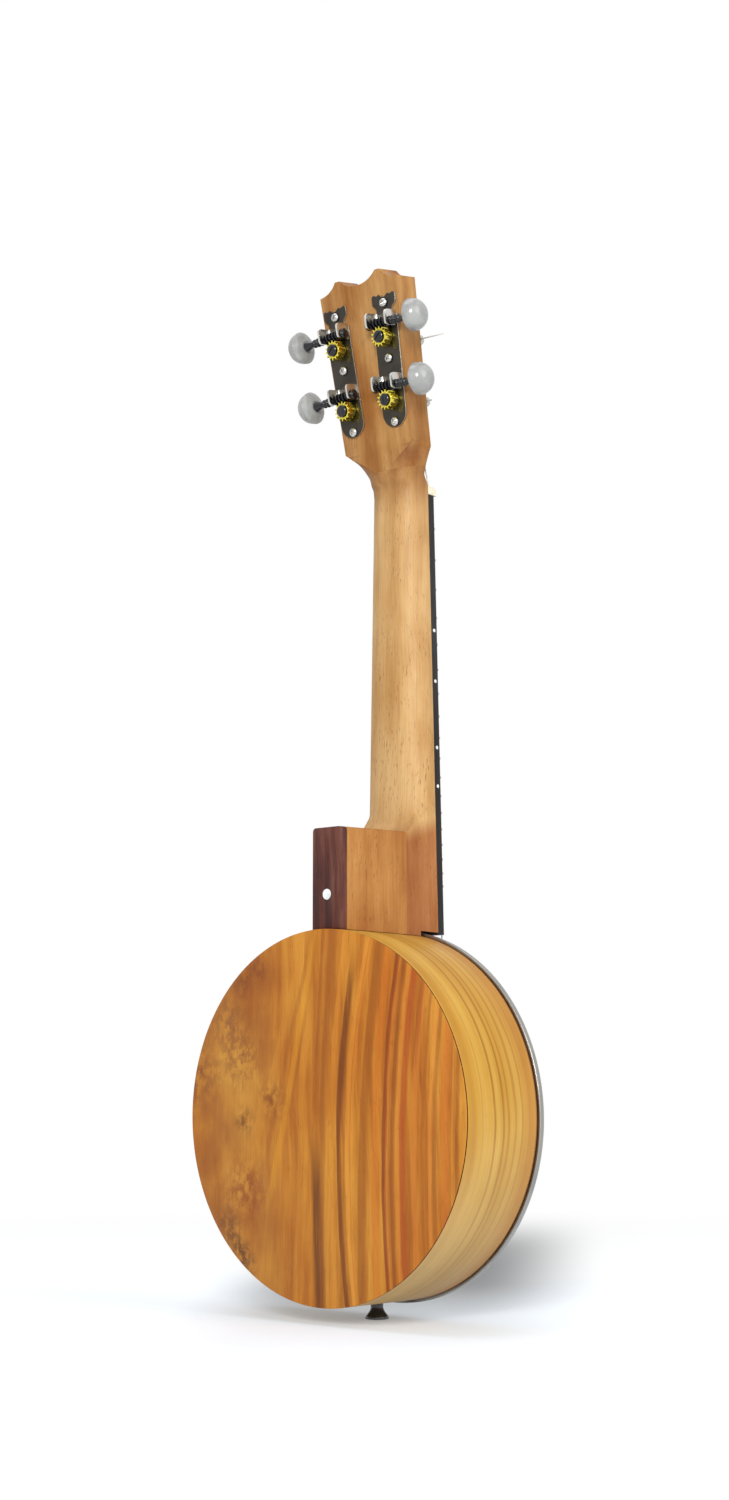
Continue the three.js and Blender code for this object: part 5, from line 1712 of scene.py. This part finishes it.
    def make_nut(self) -> None:
        """Shape the nut and file its four slots."""
        low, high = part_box("nut")
        back, crest = high.y, low.y
        thick = self.nut_thickness
        outline = rounded([(back, low.z), (back, high.z, Cut.small),
                           (lerp(back, crest, 0.6), high.z, Cut.crown),
                           (lerp(back, crest, 0.93), lerp(low.z, high.z, 0.66), Cut.wide),
                           (crest, lerp(low.z, high.z, 0.36), Cut.medium), (crest, low.z)], loop=True)
        nut = as_object("string_nut", rail(outline, high.x - low.x))
        cutters = []
        for string in STRINGS:
            floor = -(StringSet.nut_depth(self) - StringSet.radius - self.glue)
            crown, beyond = low.z + thick * 0.4, high.z + thick * 0.4
            slot = [(floor, low.z - thick), (floor, crown), (floor + thick * 0.36, beyond),
                    (floor - thick, beyond), (floor - thick, low.z - thick)]
            cutters.append(moved(rail(slot, 2 * (StringSet.radius + self.gap)), (string.nut_x, 0.0, 0.0)))
        worked(nut, cutters, Join.CUT)
        dressed(nut, Finishes.bone, ["nut"])


def quadratic(first: tuple[float, float], pull: tuple[float, float], last: tuple[float, float],
              steps: int = 16) -> list[tuple[float, float]]:
    """Return the points of a curve that leaves its first point towards its pull, without the first."""
    points = []
    for i in range(1, steps + 1):
        share = i / steps
        points.append(tuple(lerp(lerp(a, b, share), lerp(b, c, share), share)
                            for a, b, c in zip(first, pull, last)))
    return points


class Side(Enum):
    """The two sides of the headstock, by the direction across it."""

    BASS = -1
    TREBLE = 1

    @property
    def word(self) -> str:
        """Return the side's name in the names of the nodes."""
        return self.name.lower()


@dataclass
class Headstock:
    """The headstock: a tilted board with a horned top and shoulders that run into the neck."""

    tilt: float = math.radians(11.1)
    back_depth: float = 0.0502
    root: float = 0.3444
    thickness: float = 0.0160
    joint_s: float = 0.0125
    root_width: float = 0.0496
    root_s: float = 0.0225
    back_root_s: float = 0.0260
    tongue_s: float = 0.0110
    tongue_power: float = 0.8
    crest_drop: float = 0.0018
    top_width: float = 0.0576
    corner_s: float = 0.1170
    horn_s: float = 0.1236
    horn_inset: float = 0.0138
    horn_flat: float = 0.0030
    valley_s: float = 0.1182
    horn_pull: float = 0.3
    horn_dip: float = 0.1
    valley_share: float = 0.6
    shoulder_s: float = 0.0080
    shoulder_power: float = 1.2
    carve_top: float = 0.3700
    carve_foot: float = 0.3555
    throat_rings: int = 20
    blunt: ClassVar[float] = 55.0
    hidden_shrink: tuple[float, float] = (0.97, 0.94)

    @classmethod
    def facing(cls, graph: Graph) -> Socket:
        """Return how squarely a point's surface faces out of the tilted back, from -1 to 1."""
        out = (0.0, math.cos(cls.tilt), -math.sin(cls.tilt))
        return graph.vector("DOT_PRODUCT", graph.add("ShaderNodeNewGeometry").outputs["Normal"], out)

    @property
    def place(self) -> Matrix:
        """Return the frame of the headstock: across, out of its back face, and up."""
        return (Matrix.Translation((0.0, -self.back_depth, self.root))
                @ Matrix.Rotation(-self.tilt, 4, "X"))

    def half(self, s: float, nut_width: float) -> float:
        """Return half the width at a place up from the nut."""
        shoulder = share_of(self.shoulder_s, self.root_s, s)
        straight = max(0.0, (s - self.root_s) / (self.corner_s - self.root_s))
        width = lerp(nut_width, self.root_width, shoulder ** self.shoulder_power)
        return (width + (self.top_width - self.root_width) * straight) / 2

    def throat_section(self, neck: Neck, s: float) -> list[Vector]:
        """Return the section of the throat, where the flat back starts as a tongue."""
        tongue = share_of(self.tongue_s, self.back_root_s, s)
        half = self.half(s, neck.nut_width)
        return neck.section(s, half, self.thickness,
                            self.thickness - self.crest_drop * (1 - smooth(0.0, self.tongue_s, s)),
                            flat=half * tongue ** self.tongue_power,
                            power=lerp(neck.bow, neck.shoulder_bow, smooth(0.0, self.back_root_s, s)))

    def outline(self, nut_width: float) -> list[tuple[float, float]]:
        """Return the board's outline from its root round its two horns."""
        root = self.half(self.back_root_s, nut_width)
        corner = (self.top_width / 2, self.corner_s)
        outer = self.top_width / 2 - self.horn_inset + self.horn_flat / 2
        inner = outer - self.horn_flat
        pull = (lerp(outer, corner[0], self.horn_pull), lerp(self.corner_s, self.horn_s, self.horn_dip))
        points = [(root, self.back_root_s), corner, *quadratic(corner, pull, (outer, self.horn_s)),
                  (inner, self.horn_s),
                  *quadratic((inner, self.horn_s), (inner * self.valley_share, self.valley_s),
                             (0.0, self.valley_s))]
        return mirrored(points, shared=True)

    def build(self, neck: Neck) -> None:
        """Join the board and its carved root, and bore it for the posts and screws."""
        board = as_object("head_board", slab(self.outline(neck.nut_width), -self.thickness, 0.0))
        count = self.throat_rings
        rings = [self.throat_section(neck, lerp(self.joint_s, self.back_root_s, i / count))
                 for i in range(count + 1)]
        middle = -self.thickness / 2
        inside = self.throat_section(neck, self.back_root_s + neck.corner)
        across, deep = self.hidden_shrink
        rings.append([Vector((across * p.x, middle + deep * (p.y - middle), p.z)) for p in inside])
        worked(board, [skinned(rings)], Join.ADD)
        eased(board, Cut.soft, 2, self.blunt)
        gap, through = neck.gap, -2 * self.thickness
        holes, sleeves = [], []
        for side in Side:
            onto = self.place.inverted() @ TunerPlate(side).place
            posts, screws = ([onto @ Matrix.Translation((0.0, 0.0, up)) for up in ups]
                             for ups in (TunerPlate.post_ups, TunerPlate.screw_ups))
            holes += bores(Tuner.post_radius + gap, through, neck.corner, Axis.Y, posts)
            holes += bores(TunerPlate.screw_radius + gap, TunerPlate.face - TunerPlate.screw_length - gap,
                           neck.corner, Axis.Y, screws, Sides.bore)
            sleeves += bores(Tuner.bushing_radius + gap, through,
                             -self.thickness + Tuner.bushing_sleeve + gap, Axis.Y, posts)
        worked(board, holes, Join.CUT)
        worked(board, sleeves, Join.CUT)
        sealed(board)
        board.data.transform(self.place)
        dressed(board, Finishes.head, ["headstock"], crease=40)


@dataclass
class TunerPlate:
    """One dark plate with its notched crown, its lugs and its three screws."""

    side: Side
    offset: ClassVar[float] = 0.0170
    middle: ClassVar[float] = 0.0730
    lean: ClassVar[float] = math.radians(2.3)
    seat: ClassVar[float] = 0.0003
    face: ClassVar[float] = 0.0013
    post_ups: ClassVar[tuple[float, ...]] = (0.0116, -0.0234)
    screw_ups: ClassVar[tuple[float, ...]] = (0.0308, 0.0, -0.0353)
    screw_radius: ClassVar[float] = 0.0012
    screw_length: ClassVar[float] = 0.0120
    screw_head_radius: float = 0.0026
    screw_head_height: float = 0.0014
    slot_width: float = 0.0007
    slot_reach: float = 0.0014
    slot_turns: tuple[float, float, float] = (0.6, 0.9, 0.5)
    width: float = 0.0168
    waist_width: float = 0.0114
    waist_top: float = 0.0280
    top: float = 0.0360
    bottom: float = 0.0384
    crown_foot: float = 0.0304
    crown_valley: float = 0.0017
    crown_notch: float = 0.0009
    crown_shares: tuple[float, ...] = (0.85, 0.55, 0.40, 0.12)
    lug_span: float = 0.0140
    lug_thickness: float = 0.0012
    lug_height: float = 0.0089
    lug_width: float = 0.0088
    lug_start: float = 0.0052
    lug_round: float = 0.0018
    lug_ease: float = 0.00018
    plate_ease: float = 0.00022
    fillet: float = 0.0010

    @property
    def place(self) -> Matrix:
        """Return the plate's frame: across, out of the headstock's back face, and up."""
        sign = self.side.value
        return (Headstock().place @ Matrix.Translation((sign * self.offset, 0.0, self.middle))
                @ Matrix.Rotation(sign * self.lean, 4, "Y"))

    def build(self) -> None:
        """Make the plate, its lugs and its screws."""
        self.make_plate()
        self.make_lugs()
        self.make_screws()

    def outline(self) -> list[tuple[float, float]]:
        """Return the plate's outline: a round foot, a waist and a notched crown."""
        half, waist = self.width / 2, self.waist_width / 2
        outer, dip, inner, valley = (half * share for share in self.crown_shares)
        right = rounded([
            (half, self.waist_top - self.lug_width / 2, Cut.wide),
            (waist, self.waist_top - self.lug_width / 4, Cut.wide), (waist, self.waist_top, Cut.step),
            (half, self.crown_foot, Cut.step), (half, self.top - self.crown_notch, Cut.light),
            (outer, self.top, Cut.light), (dip, self.top - self.crown_notch, Cut.soft),
            (inner, self.top, Cut.light), (valley, self.top - self.crown_valley, Cut.light),
            (-valley, self.top - self.crown_valley)])[:-1]
        right.insert(0, (half, self.waist_top - self.lug_width / 2))
        foot = [(-half * math.cos(t), half - self.bottom - half * math.sin(t)) for t in arc(40, math.pi)]
        return foot + mirrored(right)

    def make_plate(self) -> None:
        """Cut the plate out, drill it and round its edges."""
        name = f"plate_{self.side.word}"
        plate = as_object(name, slab(self.outline(), self.seat, self.face))
        posts, screws = ([(0.0, 0.0, up) for up in ups] for ups in (self.post_ups, self.screw_ups))
        holes = bores(Tuner.post_radius + self.seat, -self.face, 2 * self.face, Axis.Y, posts)
        holes += bores(self.screw_radius + self.seat, -self.face, 2 * self.face, Axis.Y, screws, Sides.hole)
        worked(plate, holes, Join.CUT)
        eased(plate, self.plate_ease)
        plate.data.transform(self.place)
        dressed(plate, Finishes.plate, [f"tuner_{name}"])

    def lug(self, across: float, up: float) -> Mesh:
        """Return one upright lug with the curve of its bend at the foot."""
        start, end = up + self.lug_start, up + self.lug_start + self.lug_width
        low, high = self.face - self.lug_thickness / 2, self.face + self.lug_height
        outline = rounded([(low, start), (low, end), (high, end, self.lug_round * 1.4),
                           (high, start, self.lug_round * 1.4)], 8, loop=True)
        upright = moved(rail(outline, self.lug_thickness), (across, 0.0, 0.0))
        inward = -math.copysign(1.0, across)
        edge = across + inward * self.lug_thickness / 2
        bend = [(edge + inward * self.fillet * (1 - math.sin(t)),
                 self.face + self.fillet * (1 - math.cos(t))) for t in arc(8)]
        bend += [(edge - inward * self.lug_thickness / 4, low)]
        return together([upright, outward(skinned([[Vector((x, y, z)) for x, y in bend]
                                                   for z in (start, end)]))])

    def make_lugs(self) -> None:
        """Bend the four lugs up, bore them for the worm shafts and round their edges."""
        lugs = as_object(f"lugs_{self.side.word}", together(
            [self.lug(sign * self.lug_span / 2, up) for up in self.post_ups for sign in (-1, 1)]))
        places = [(0.0, Tuner.height, up + Tuner.centre_distance) for up in self.post_ups]
        worked(lugs, bores(Tuner.journal_radius + self.seat, -self.lug_span, self.lug_span, Axis.X, places),
               Join.CUT)
        eased(lugs, self.lug_ease, 2, Headstock.blunt)
        lugs.data.transform(self.place)
        dressed(lugs, Finishes.lug)

    def make_screws(self) -> None:
        """Turn the three screws and cut the crosses in their heads."""
        seat = self.face + self.seat
        crown, tip = seat + self.screw_head_height, self.face - self.screw_length
        core, pitch = self.screw_radius * 0.8, self.screw_radius
        thread = []
        place = tip + self.screw_radius * 2
        while place + pitch < seat - pitch:
            thread += [(core, place), (self.screw_radius, place + pitch / 2)]
            place += pitch
        head = self.screw_head_radius
        corners = [
            (0.0, tip), *thread, (core, place), (core, seat), (head, seat, Cut.fine),
            (head, lerp(seat, crown, 0.3), Cut.soft), (head * 0.72, lerp(seat, crown, 0.86), Cut.broad),
            (head * 0.3, crown, Cut.medium), (0.0, crown)]
        for i, up in enumerate(self.screw_ups):
            name = f"{self.side.word}_{i + 1}"
            screw = lathe(f"fixing_{name}", corners, Sides.screw)
            first, each, apart = self.slot_turns
            cross_cut(screw, self.slot_width, self.slot_reach, crown, self.screw_head_height * 0.75,
                      first + each * i + apart * self.side.value)
            screw.data.transform(self.place @ Matrix.Translation((0.0, 0.0, up)))
            dressed(screw, Finishes.nickel, [f"plate_screw_{name}"])


@dataclass
class Tuner:
    """One open tuner: a worm shaft with its button, and a gear on its string post."""

    side: Side
    upper: bool
    height: ClassVar[float] = 0.0058
    module: ClassVar[float] = 0.000743
    teeth: ClassVar[int] = 14
    worm_radius: ClassVar[float] = 0.00245
    pitch_radius: ClassVar[float] = 0.005201
    centre_distance: ClassVar[float] = 0.007651
    journal_radius: ClassVar[float] = 0.0018
    post_radius: ClassVar[float] = 0.0030
    bushing_radius: ClassVar[float] = 0.0044
    bushing_sleeve: ClassVar[float] = 0.0060
    addendum: float = 0.00055
    dedendum: float = 0.0008
    tooth_share: float = 0.4
    tip_share: float = 0.2
    tip_cut: float = 0.00012
    tooth_rings: int = 6
    gear_thickness: float = 0.0052
    hub_radius: float = 0.0044
    worm_length: float = 0.0116
    lug_half: float = 0.0070
    lug_clear: float = 0.0009
    cap_radius: float = 0.0029
    cap_length: float = 0.0019
    bead_radius: float = 0.0026
    beads: tuple[tuple[float, float], ...] = ((0.02, 1.0), (0.12, 1.0), (0.15, 0.0), (0.20, 0.0),
                                              (0.23, 1.0), (0.33, 1.0), (0.36, 0.0), (0.42, 0.0),
                                              (0.45, 0.8), (0.53, 0.8), (0.57, 0.0), (0.66, 0.0))
    collar_radius: float = 0.0033
    button_reach: float = 0.0206
    button_radius: float = 0.0092
    button_hub: float = 0.0038
    button_cone: float = 0.0029
    button_dome: float = 0.0078
    dome_power: float = 0.8
    dome_inset: float = 0.975
    dome_steps: int = 28
    socket: float = 0.0040
    spigot_radius: float = 0.0022
    post_reach: float = 0.0126
    hole_radius: float = 0.0009
    screw_radius: float = 0.0010
    screw_length: float = 0.0050
    screw_head_radius: float = 0.0034
    screw_head_height: float = 0.0013
    slot_turns: tuple[float, float] = (0.5, 0.8)
    flange_radius: float = 0.0054
    flange_thickness: float = 0.0014
    gap: float = 0.0003
    edge: float = 0.0006

    def __post_init__(self) -> None:
        """Work out the tuner's names and its place."""
        self.word = f"{self.side.word}_{'upper' if self.upper else 'lower'}"
        self.up = TunerPlate.post_ups[0 if self.upper else 1]
        self.place = TunerPlate(self.side).place @ Matrix.Translation((0.0, 0.0, self.up))
        self.shaft_place = self.place @ Matrix.Translation((0.0, self.height, self.centre_distance))
        self.pitch = math.pi * self.module
        self.gear_top = self.height + self.gear_thickness / 2

    def build(self) -> None:
        """Make every piece of the tuner."""
        self.make_shaft()
        self.make_button()
        self.make_gear()
        self.make_post()
        self.make_screw()
        self.make_bushing()

    def finished(self, bm: Mesh, name: str, node: str, finish: Finish, body: str) -> None:
        """Name, dress and fasten one piece that is already in its place."""
        dressed(as_object(f"{name}_{self.word}", bm), finish, [f"{node}_{self.word}"], body)

    def thread_radius(self, share: float) -> float:
        """Return the worm's radius at a share of its pitch, 0 at the thread's crest."""
        beside = abs((share + 0.5) % 1 - 0.5)
        crest = self.tip_share / 2
        foot = self.tooth_share / 2 + self.tip_share / 4
        return lerp(self.worm_radius + self.addendum, self.worm_radius - self.dedendum,
                    share_of(crest, foot, beside))

    def thread(self, sides: int = 64, steps: int = 24) -> Mesh:
        """Return the worm's thread, which fades out into the shaft at both ends."""
        half = self.worm_length / 2
        count = round(self.worm_length / self.pitch * steps)
        rings = []
        for i in range(count + 1):
            x = lerp(-half, half, i / count)
            fade = smooth(0.0, self.pitch / 3, half - abs(x))
            ring = []
            for j in range(sides):
                turn = 2 * math.pi * j / sides
                share = self.side.value * x / self.pitch + j / sides + 0.5
                radius = lerp(self.worm_radius - self.dedendum, self.thread_radius(share), fade)
                ring.append(Vector((self.side.value * x, radius * math.sin(turn), radius * math.cos(turn))))
            rings.append(ring)
        return skinned(rings)

    def make_shaft(self) -> None:
        """Turn the shaft with its cap, beads and collar, and cut its worm."""
        outer, end, half = self.lug_half + self.lug_clear, self.button_reach - self.gap, self.worm_length / 2
        journal, core = self.journal_radius, self.worm_radius - self.dedendum - self.gap / 2
        tip = -outer - self.cap_length
        cap = [(0.0, tip), (self.cap_radius * 0.55, tip, Cut.medium),
               (self.cap_radius, -outer - self.cap_length * 0.7, Cut.bead),
               (self.cap_radius, -outer, Cut.small), (journal, -outer)]
        lug = [(journal, -half), (core, -half), (core, half), (journal, half), (journal, outer)]
        beads = [(lerp(journal, self.bead_radius, swell), lerp(outer, end, along), Cut.bead)
                 for along, swell in self.beads]
        collar = [(self.bead_radius, lerp(outer, end, 0.83), Cut.wide),
                  (self.collar_radius, end, Cut.small), (journal, end), (journal, end + self.socket),
                  (0.0, end + self.socket)]
        profile = [(r, self.side.value * x) for r, x in rounded([*cap, *lug, *beads, *collar], 5)]
        whole = together([outward(turned(profile, Sides.bar, Axis.X)), outward(self.thread())])
        moved(whole, self.shaft_place)
        self.finished(whole, "worm", "worm_shaft", Finishes.black, f"key_{self.word}")

    def make_button(self) -> None:
        """Turn the button: a cone from its hub, a fine rim and a long dome."""
        start, wide = self.button_reach, self.button_reach + self.button_cone
        journal = self.journal_radius + self.gap / 3
        back = rounded([
            (0.0, start + self.socket), (journal, start + self.socket), (journal, start),
            (self.button_hub, start, Cut.small),
            (self.button_radius * 0.86, start + self.button_cone * 0.5, Cut.cone),
            (self.button_radius * 0.965, wide - self.edge * 0.9, Cut.light),
            (self.button_radius, wide - self.edge * 0.6, Cut.fine), (self.button_radius, wide)], 6)
        dome = [(self.button_radius * self.dome_inset * math.cos(t) ** self.dome_power,
                 wide + self.button_dome * math.sin(t)) for t in arc(self.dome_steps)[:-1]]
        dome.append((0.0, wide + self.button_dome))
        profile = [(r, self.side.value * x) for r, x in back + dome]
        self.finished(moved(turned(profile, Sides.button, Axis.X), self.shaft_place), "button", "key_button",
                      Finishes.pearl, f"key_{self.word}")

    def tooth(self) -> Mesh:
        """Return one slanting tooth of the gear, in the first place beside the worm."""
        root, tip = self.pitch_radius - self.dedendum, self.pitch_radius + self.addendum
        step = 2 * math.pi / self.teeth
        foot = self.tooth_share / 2 + self.tip_share / 4
        lead = self.pitch / (2 * math.pi * self.worm_radius)
        corners = rounded([(-foot, root * 0.9), (-foot, root), (-self.tip_share / 2, tip, self.tip_cut),
                           (self.tip_share / 2, tip, self.tip_cut), (foot, root), (foot, root * 0.9)])
        rings = []
        for i in range(self.tooth_rings + 1):
            offset = lerp(-0.5, 0.5, i / self.tooth_rings) * self.gear_thickness
            inset = self.edge / 3 if i in (0, self.tooth_rings) else 0.0
            ring = []
            for share, radius in corners:
                angle = step * share + math.pi / self.teeth + lead * offset / self.pitch_radius
                reach = min(radius, tip - inset)
                ring.append(Vector((reach * math.sin(angle), self.height + offset, reach * math.cos(angle))))
            rings.append(ring)
        return skinned(rings)

    def make_gear(self) -> None:
        """Turn the gear's disc and set its teeth round it."""
        gear = as_object(f"gear_{self.word}", self.tooth())
        ring_pattern().applied(gear, Finishes.brass, Count=self.teeth, Axis=(0.0, 1.0, 0.0),
                               First_Lift=(0.0, 0.0, 0.0))
        low = self.height - self.gear_thickness / 2
        root, bore = self.pitch_radius - self.dedendum, self.spigot_radius + self.gap
        foot, top, dish = TunerPlate.face + self.gap, self.gear_top, self.gear_top - self.gap / 2
        disc = turned(rounded([
            (bore, foot), (self.hub_radius, foot, Cut.fine), (self.hub_radius, low), (root, low, Cut.fine),
            (root, top, Cut.small), (root * 0.86, top, Cut.fine), (root * 0.82, dish),
            (bore, dish)], loop=True), Sides.button, loop=True)
        outward(disc).from_mesh(gear.data)
        outward(disc).transform(self.place)
        disc.to_mesh(gear.data)
        disc.free()
        dressed(gear, Finishes.brass, [f"tuner_gear_{self.word}"], f"post_{self.word}")

    def make_post(self) -> None:
        """Turn the string post and drill it through for its string."""
        front, shoulder = -(Headstock.thickness + self.post_reach), TunerPlate.face + self.gap / 2
        top, bore = self.gear_top - self.gap, self.gear_top - self.screw_length - self.gap
        drill = self.screw_radius + self.gap / 3
        post = lathe(f"post_{self.word}", [
            (0.0, front), (self.post_radius * 0.8, front, Cut.medium),
            (self.post_radius, front + self.edge * 1.4, Cut.soft), (self.post_radius, shoulder, Cut.fine),
            (self.spigot_radius, shoulder), (self.spigot_radius, top, Cut.hair), (drill, top, Cut.hair),
            (drill, bore), (0.0, bore)], Sides.post)
        place = (0.0, -(Headstock.thickness + StringSet.hole_down()), 0.0)
        reach = 2 * self.post_radius
        worked(post, bores(self.hole_radius, -reach, reach, Axis.X, [place], Sides.pin), Join.CUT)
        post.data.transform(self.place)
        dressed(post, Finishes.nickel, [f"tuner_post_{self.word}"], f"post_{self.word}")

    def make_screw(self) -> None:
        """Turn the gear's domed screw."""
        seat = self.gear_top + self.gap
        crown, tip = seat + self.screw_head_height, seat - self.screw_length
        shank, head = self.screw_radius, self.screw_head_radius
        screw = lathe(f"stud_{self.word}", [
            (0.0, tip), (shank * 0.8, tip, Cut.fine), (shank, tip + shank), (shank, seat),
            (head, seat, Cut.fine), (head, lerp(seat, crown, 0.42), Cut.soft),
            (head * 0.66, crown, Cut.wide), (0.0, crown)], Sides.post, steps=6)
        slot = block(Vector((shank * 0.7, self.screw_head_height, 3 * head)),
                     Vector((0.0, crown + self.screw_head_height * 0.12, 0.0)))
        first, each = self.slot_turns
        moved(slot, Matrix.Rotation(first + each * self.up / self.pitch_radius, 4, "Y"))
        worked(screw, [slot], Join.CUT)
        screw.data.transform(self.place)
        dressed(screw, Finishes.black, [f"gear_screw_{self.word}"], f"post_{self.word}")

    def make_bushing(self) -> None:
        """Turn the bushing that holds the post in the headstock's front."""
        inner = self.post_radius + self.gap
        sleeve, seat = -(Headstock.thickness - self.bushing_sleeve), -(Headstock.thickness + self.gap)
        profile = rounded([
            (inner, sleeve), (self.bushing_radius, sleeve, Cut.fine), (self.bushing_radius, seat),
            (self.flange_radius, seat, Cut.fine),
            (self.flange_radius, seat - self.flange_thickness, Cut.flare),
            (inner, seat - self.flange_thickness, Cut.fine)], loop=True)
        self.finished(moved(turned(profile, Sides.post, loop=True), self.place), "sleeve", "bushing",
                      Finishes.nickel, "root")


@dataclass
class StringSet:
    """One nylon string, from its knot in the tailpiece to its post."""

    number: int
    share: float
    radius: ClassVar[float] = 0.0004
    turns: ClassVar[float] = 2.0
    winding_pitch: ClassVar[float] = 0.0013
    winding_start: ClassVar[float] = 0.0036
    crossing: ClassVar[float] = 0.0016
    tail_inset: ClassVar[float] = 0.0032
    knot: float = 0.0012
    nut_span: float = 0.0255
    bridge_span: float = 0.0405
    tail_span: float = 0.0210
    nut_rise: float = 0.0012
    action: float = 0.0022
    trimmed: float = 0.0040
    loose: float = 0.0170
    loose_string: int = 3
    tail_bend: tuple[tuple[float, float], ...] = ((0.0, 0.0), (1.25, 0.6), (1.9, 2.5), (2.3, 5.0))
    wound_gap: float = 0.0008
    giving: float = 0.0040

    def __post_init__(self) -> None:
        """Work out the string's crossings and its post."""
        self.nut_x = self.share * self.nut_span / 2
        self.bridge_x = self.share * self.bridge_span / 2
        self.tail_x = self.share * self.tail_span / 2
        self.side = Side.BASS if self.share < 0 else Side.TREBLE
        self.post = Tuner(self.side, abs(self.share) < 0.5)

    @staticmethod
    def tail_hole(top: float) -> float:
        """Return how high the tailpiece's holes lie, under its top edge."""
        return top - StringSet.tail_inset

    @staticmethod
    def nut_depth(neck: Neck) -> float:
        """Return how deep the strings' middles lie over the nut."""
        return -neck.board_front + neck.fret_height + StringSet.nut_rise

    @staticmethod
    def hole_down() -> float:
        """Return how far the post's hole lies from the headstock's front."""
        return (Tuner.flange_thickness + StringSet.winding_start
                + (StringSet.turns - 0.5) * StringSet.winding_pitch + StringSet.crossing)

    def bridge_depth(self, neck: Neck) -> float:
        """Return how deep the string's middle lies over the bridge."""
        over_fret = -neck.board_front + neck.fret_height + self.action + self.radius
        return lerp(self.nut_depth(neck), over_fret, 2.0)

    def climb(self, turns: float) -> float:
        """Return how far out the winding lies after some turns."""
        plain = min(turns, self.turns - 0.5)
        last = max(0.0, turns - self.turns + 0.5) * 2
        low = -(Headstock.thickness + Tuner.flange_thickness + self.winding_start)
        return low - plain * self.winding_pitch - last * self.crossing

    def route(self, neck: Neck) -> list[Vector]:
        """Return the middle line of the string."""
        low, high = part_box("tailpiece")
        under, over, hole = high.y - Body.tail_rise, low.y, self.tail_hole(high.z)
        bridge_low, bridge_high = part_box("bridge")
        bridge_z = (bridge_low.z + bridge_high.z) / 2
        points = [Vector((self.tail_x, under, hole))]
        points += [Vector((self.tail_x, over - self.radius * out, hole + self.radius * up))
                   for out, up in self.tail_bend]
        points += [
            Vector((self.bridge_x, -self.bridge_depth(neck), bridge_z)),
            Vector((self.nut_x, -self.nut_depth(neck), neck.nut_z)),
            Vector((self.nut_x, -self.nut_depth(neck), neck.nut_z + neck.nut_thickness * 0.4))]
        reach = Tuner.post_radius + Tuner.gap + self.radius
        steps = round(self.turns * 40)
        sign = self.side.value
        for i in range(steps + 1):
            turns = self.turns * i / steps
            angle = math.pi * (1 - 2 * turns)
            points.append(self.post.place @ Vector((sign * reach * math.cos(angle), self.climb(turns),
                                                    reach * math.sin(angle))))
        beyond = self.loose if self.number == self.loose_string else self.trimmed
        post = Tuner.post_radius
        outs = [(-post - self.radius, self.radius * 1.5), (-post, self.radius * 0.2), (post + beyond, 0.0)]
        points += [self.post.place @ Vector((sign * out, self.climb(self.turns), up)) for out, up in outs]
        return points

    def build(self, neck: Neck) -> None:
        """Sweep the string along its route and tie its knot."""
        path = self.route(neck)
        line = bmesh.new()
        spots = [line.verts.new(point) for point in path]
        for first, second in zip(spots, spots[1:]):
            line.edges.new((first, second))
        mesh = bpy.data.meshes.new("line")
        line.to_mesh(mesh)
        line.free()
        string = linked(f"line_{self.number}", mesh)
        path_pattern().applied(string, Finishes.nylon, Radius=self.radius, Sides=12)
        whole = bmesh.new()
        whole.from_mesh(string.data)
        knot = bmesh.new()
        bmesh.ops.create_uvsphere(knot, u_segments=20, v_segments=12, radius=self.knot)
        knot.transform(Matrix.Translation(path[0] + Vector((0.0, self.knot * 0.9, 0.0)))
                       @ Matrix.Diagonal((1.0, 0.75, 1.1, 1.0)))
        whole = together([whole, knot])
        bmesh.ops.remove_doubles(whole, verts=whole.verts, dist=1e-7)
        outward(whole).to_mesh(string.data)
        whole.free()
        dressed(string, Finishes.nylon, [f"string_{self.number}"], "")
        centre = self.post.place @ Vector((0.0, self.climb(self.turns / 2), 0.0))
        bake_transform(string)


STRINGS = tuple(StringSet(4 - i, lerp(-1.0, 1.0, i / 3)) for i in range(4))


@dataclass
class Bridge:
    """The arched bridge that stands on the drum head."""

    foot_thickness: float = 0.0054
    top_thickness: float = 0.0022
    top_width: float = 0.0460
    foot_width: float = 0.0090
    arch_share: float = 0.5

    def build(self) -> None:
        """Cut the bridge's two arches and thin it towards its crest."""
        low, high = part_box("bridge")
        foot, crest = high.y, low.y
        arch = lerp(foot, crest, self.arch_share)
        wide, narrow = high.x, self.top_width / 2
        first, last = (wide - self.foot_width, foot), (self.foot_width / 2, foot)
        middle = ((wide + self.foot_width / 2) / 2, arch)
        right = [(wide, foot), first, *quadratic(first, (first[0], arch), middle),
                 *quadratic(middle, (last[0], arch), last)]
        outline = mirrored(right) + [(-narrow, crest), (narrow, crest)]
        centre = (low.z + high.z) / 2
        rings = []
        for sign in (-1, 1):
            ring = []
            for x, y in outline:
                thickness = lerp(self.foot_thickness, self.top_thickness, (y - foot) / (crest - foot))
                ring.append(Vector((x, y, centre + sign * thickness / 2)))
            rings.append(ring)
        bridge = as_object("string_bridge", skinned(rings))
        eased(bridge, 0.0004, 2)
        dressed(bridge, Finishes.bridge, ["bridge"])


def main() -> None:
    """Build the instrument from its body to its strings."""
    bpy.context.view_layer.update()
    Studio().build()
    Body().build()
    neck = Neck()
    neck.build()
    Headstock().build(neck)
    for side in Side:
        TunerPlate(side).build()
        for upper in (True, False):
            Tuner(side, upper).build()
    Bridge().build()
    for string in STRINGS:
        string.build(neck)


if __name__ == "__main__":
    main()
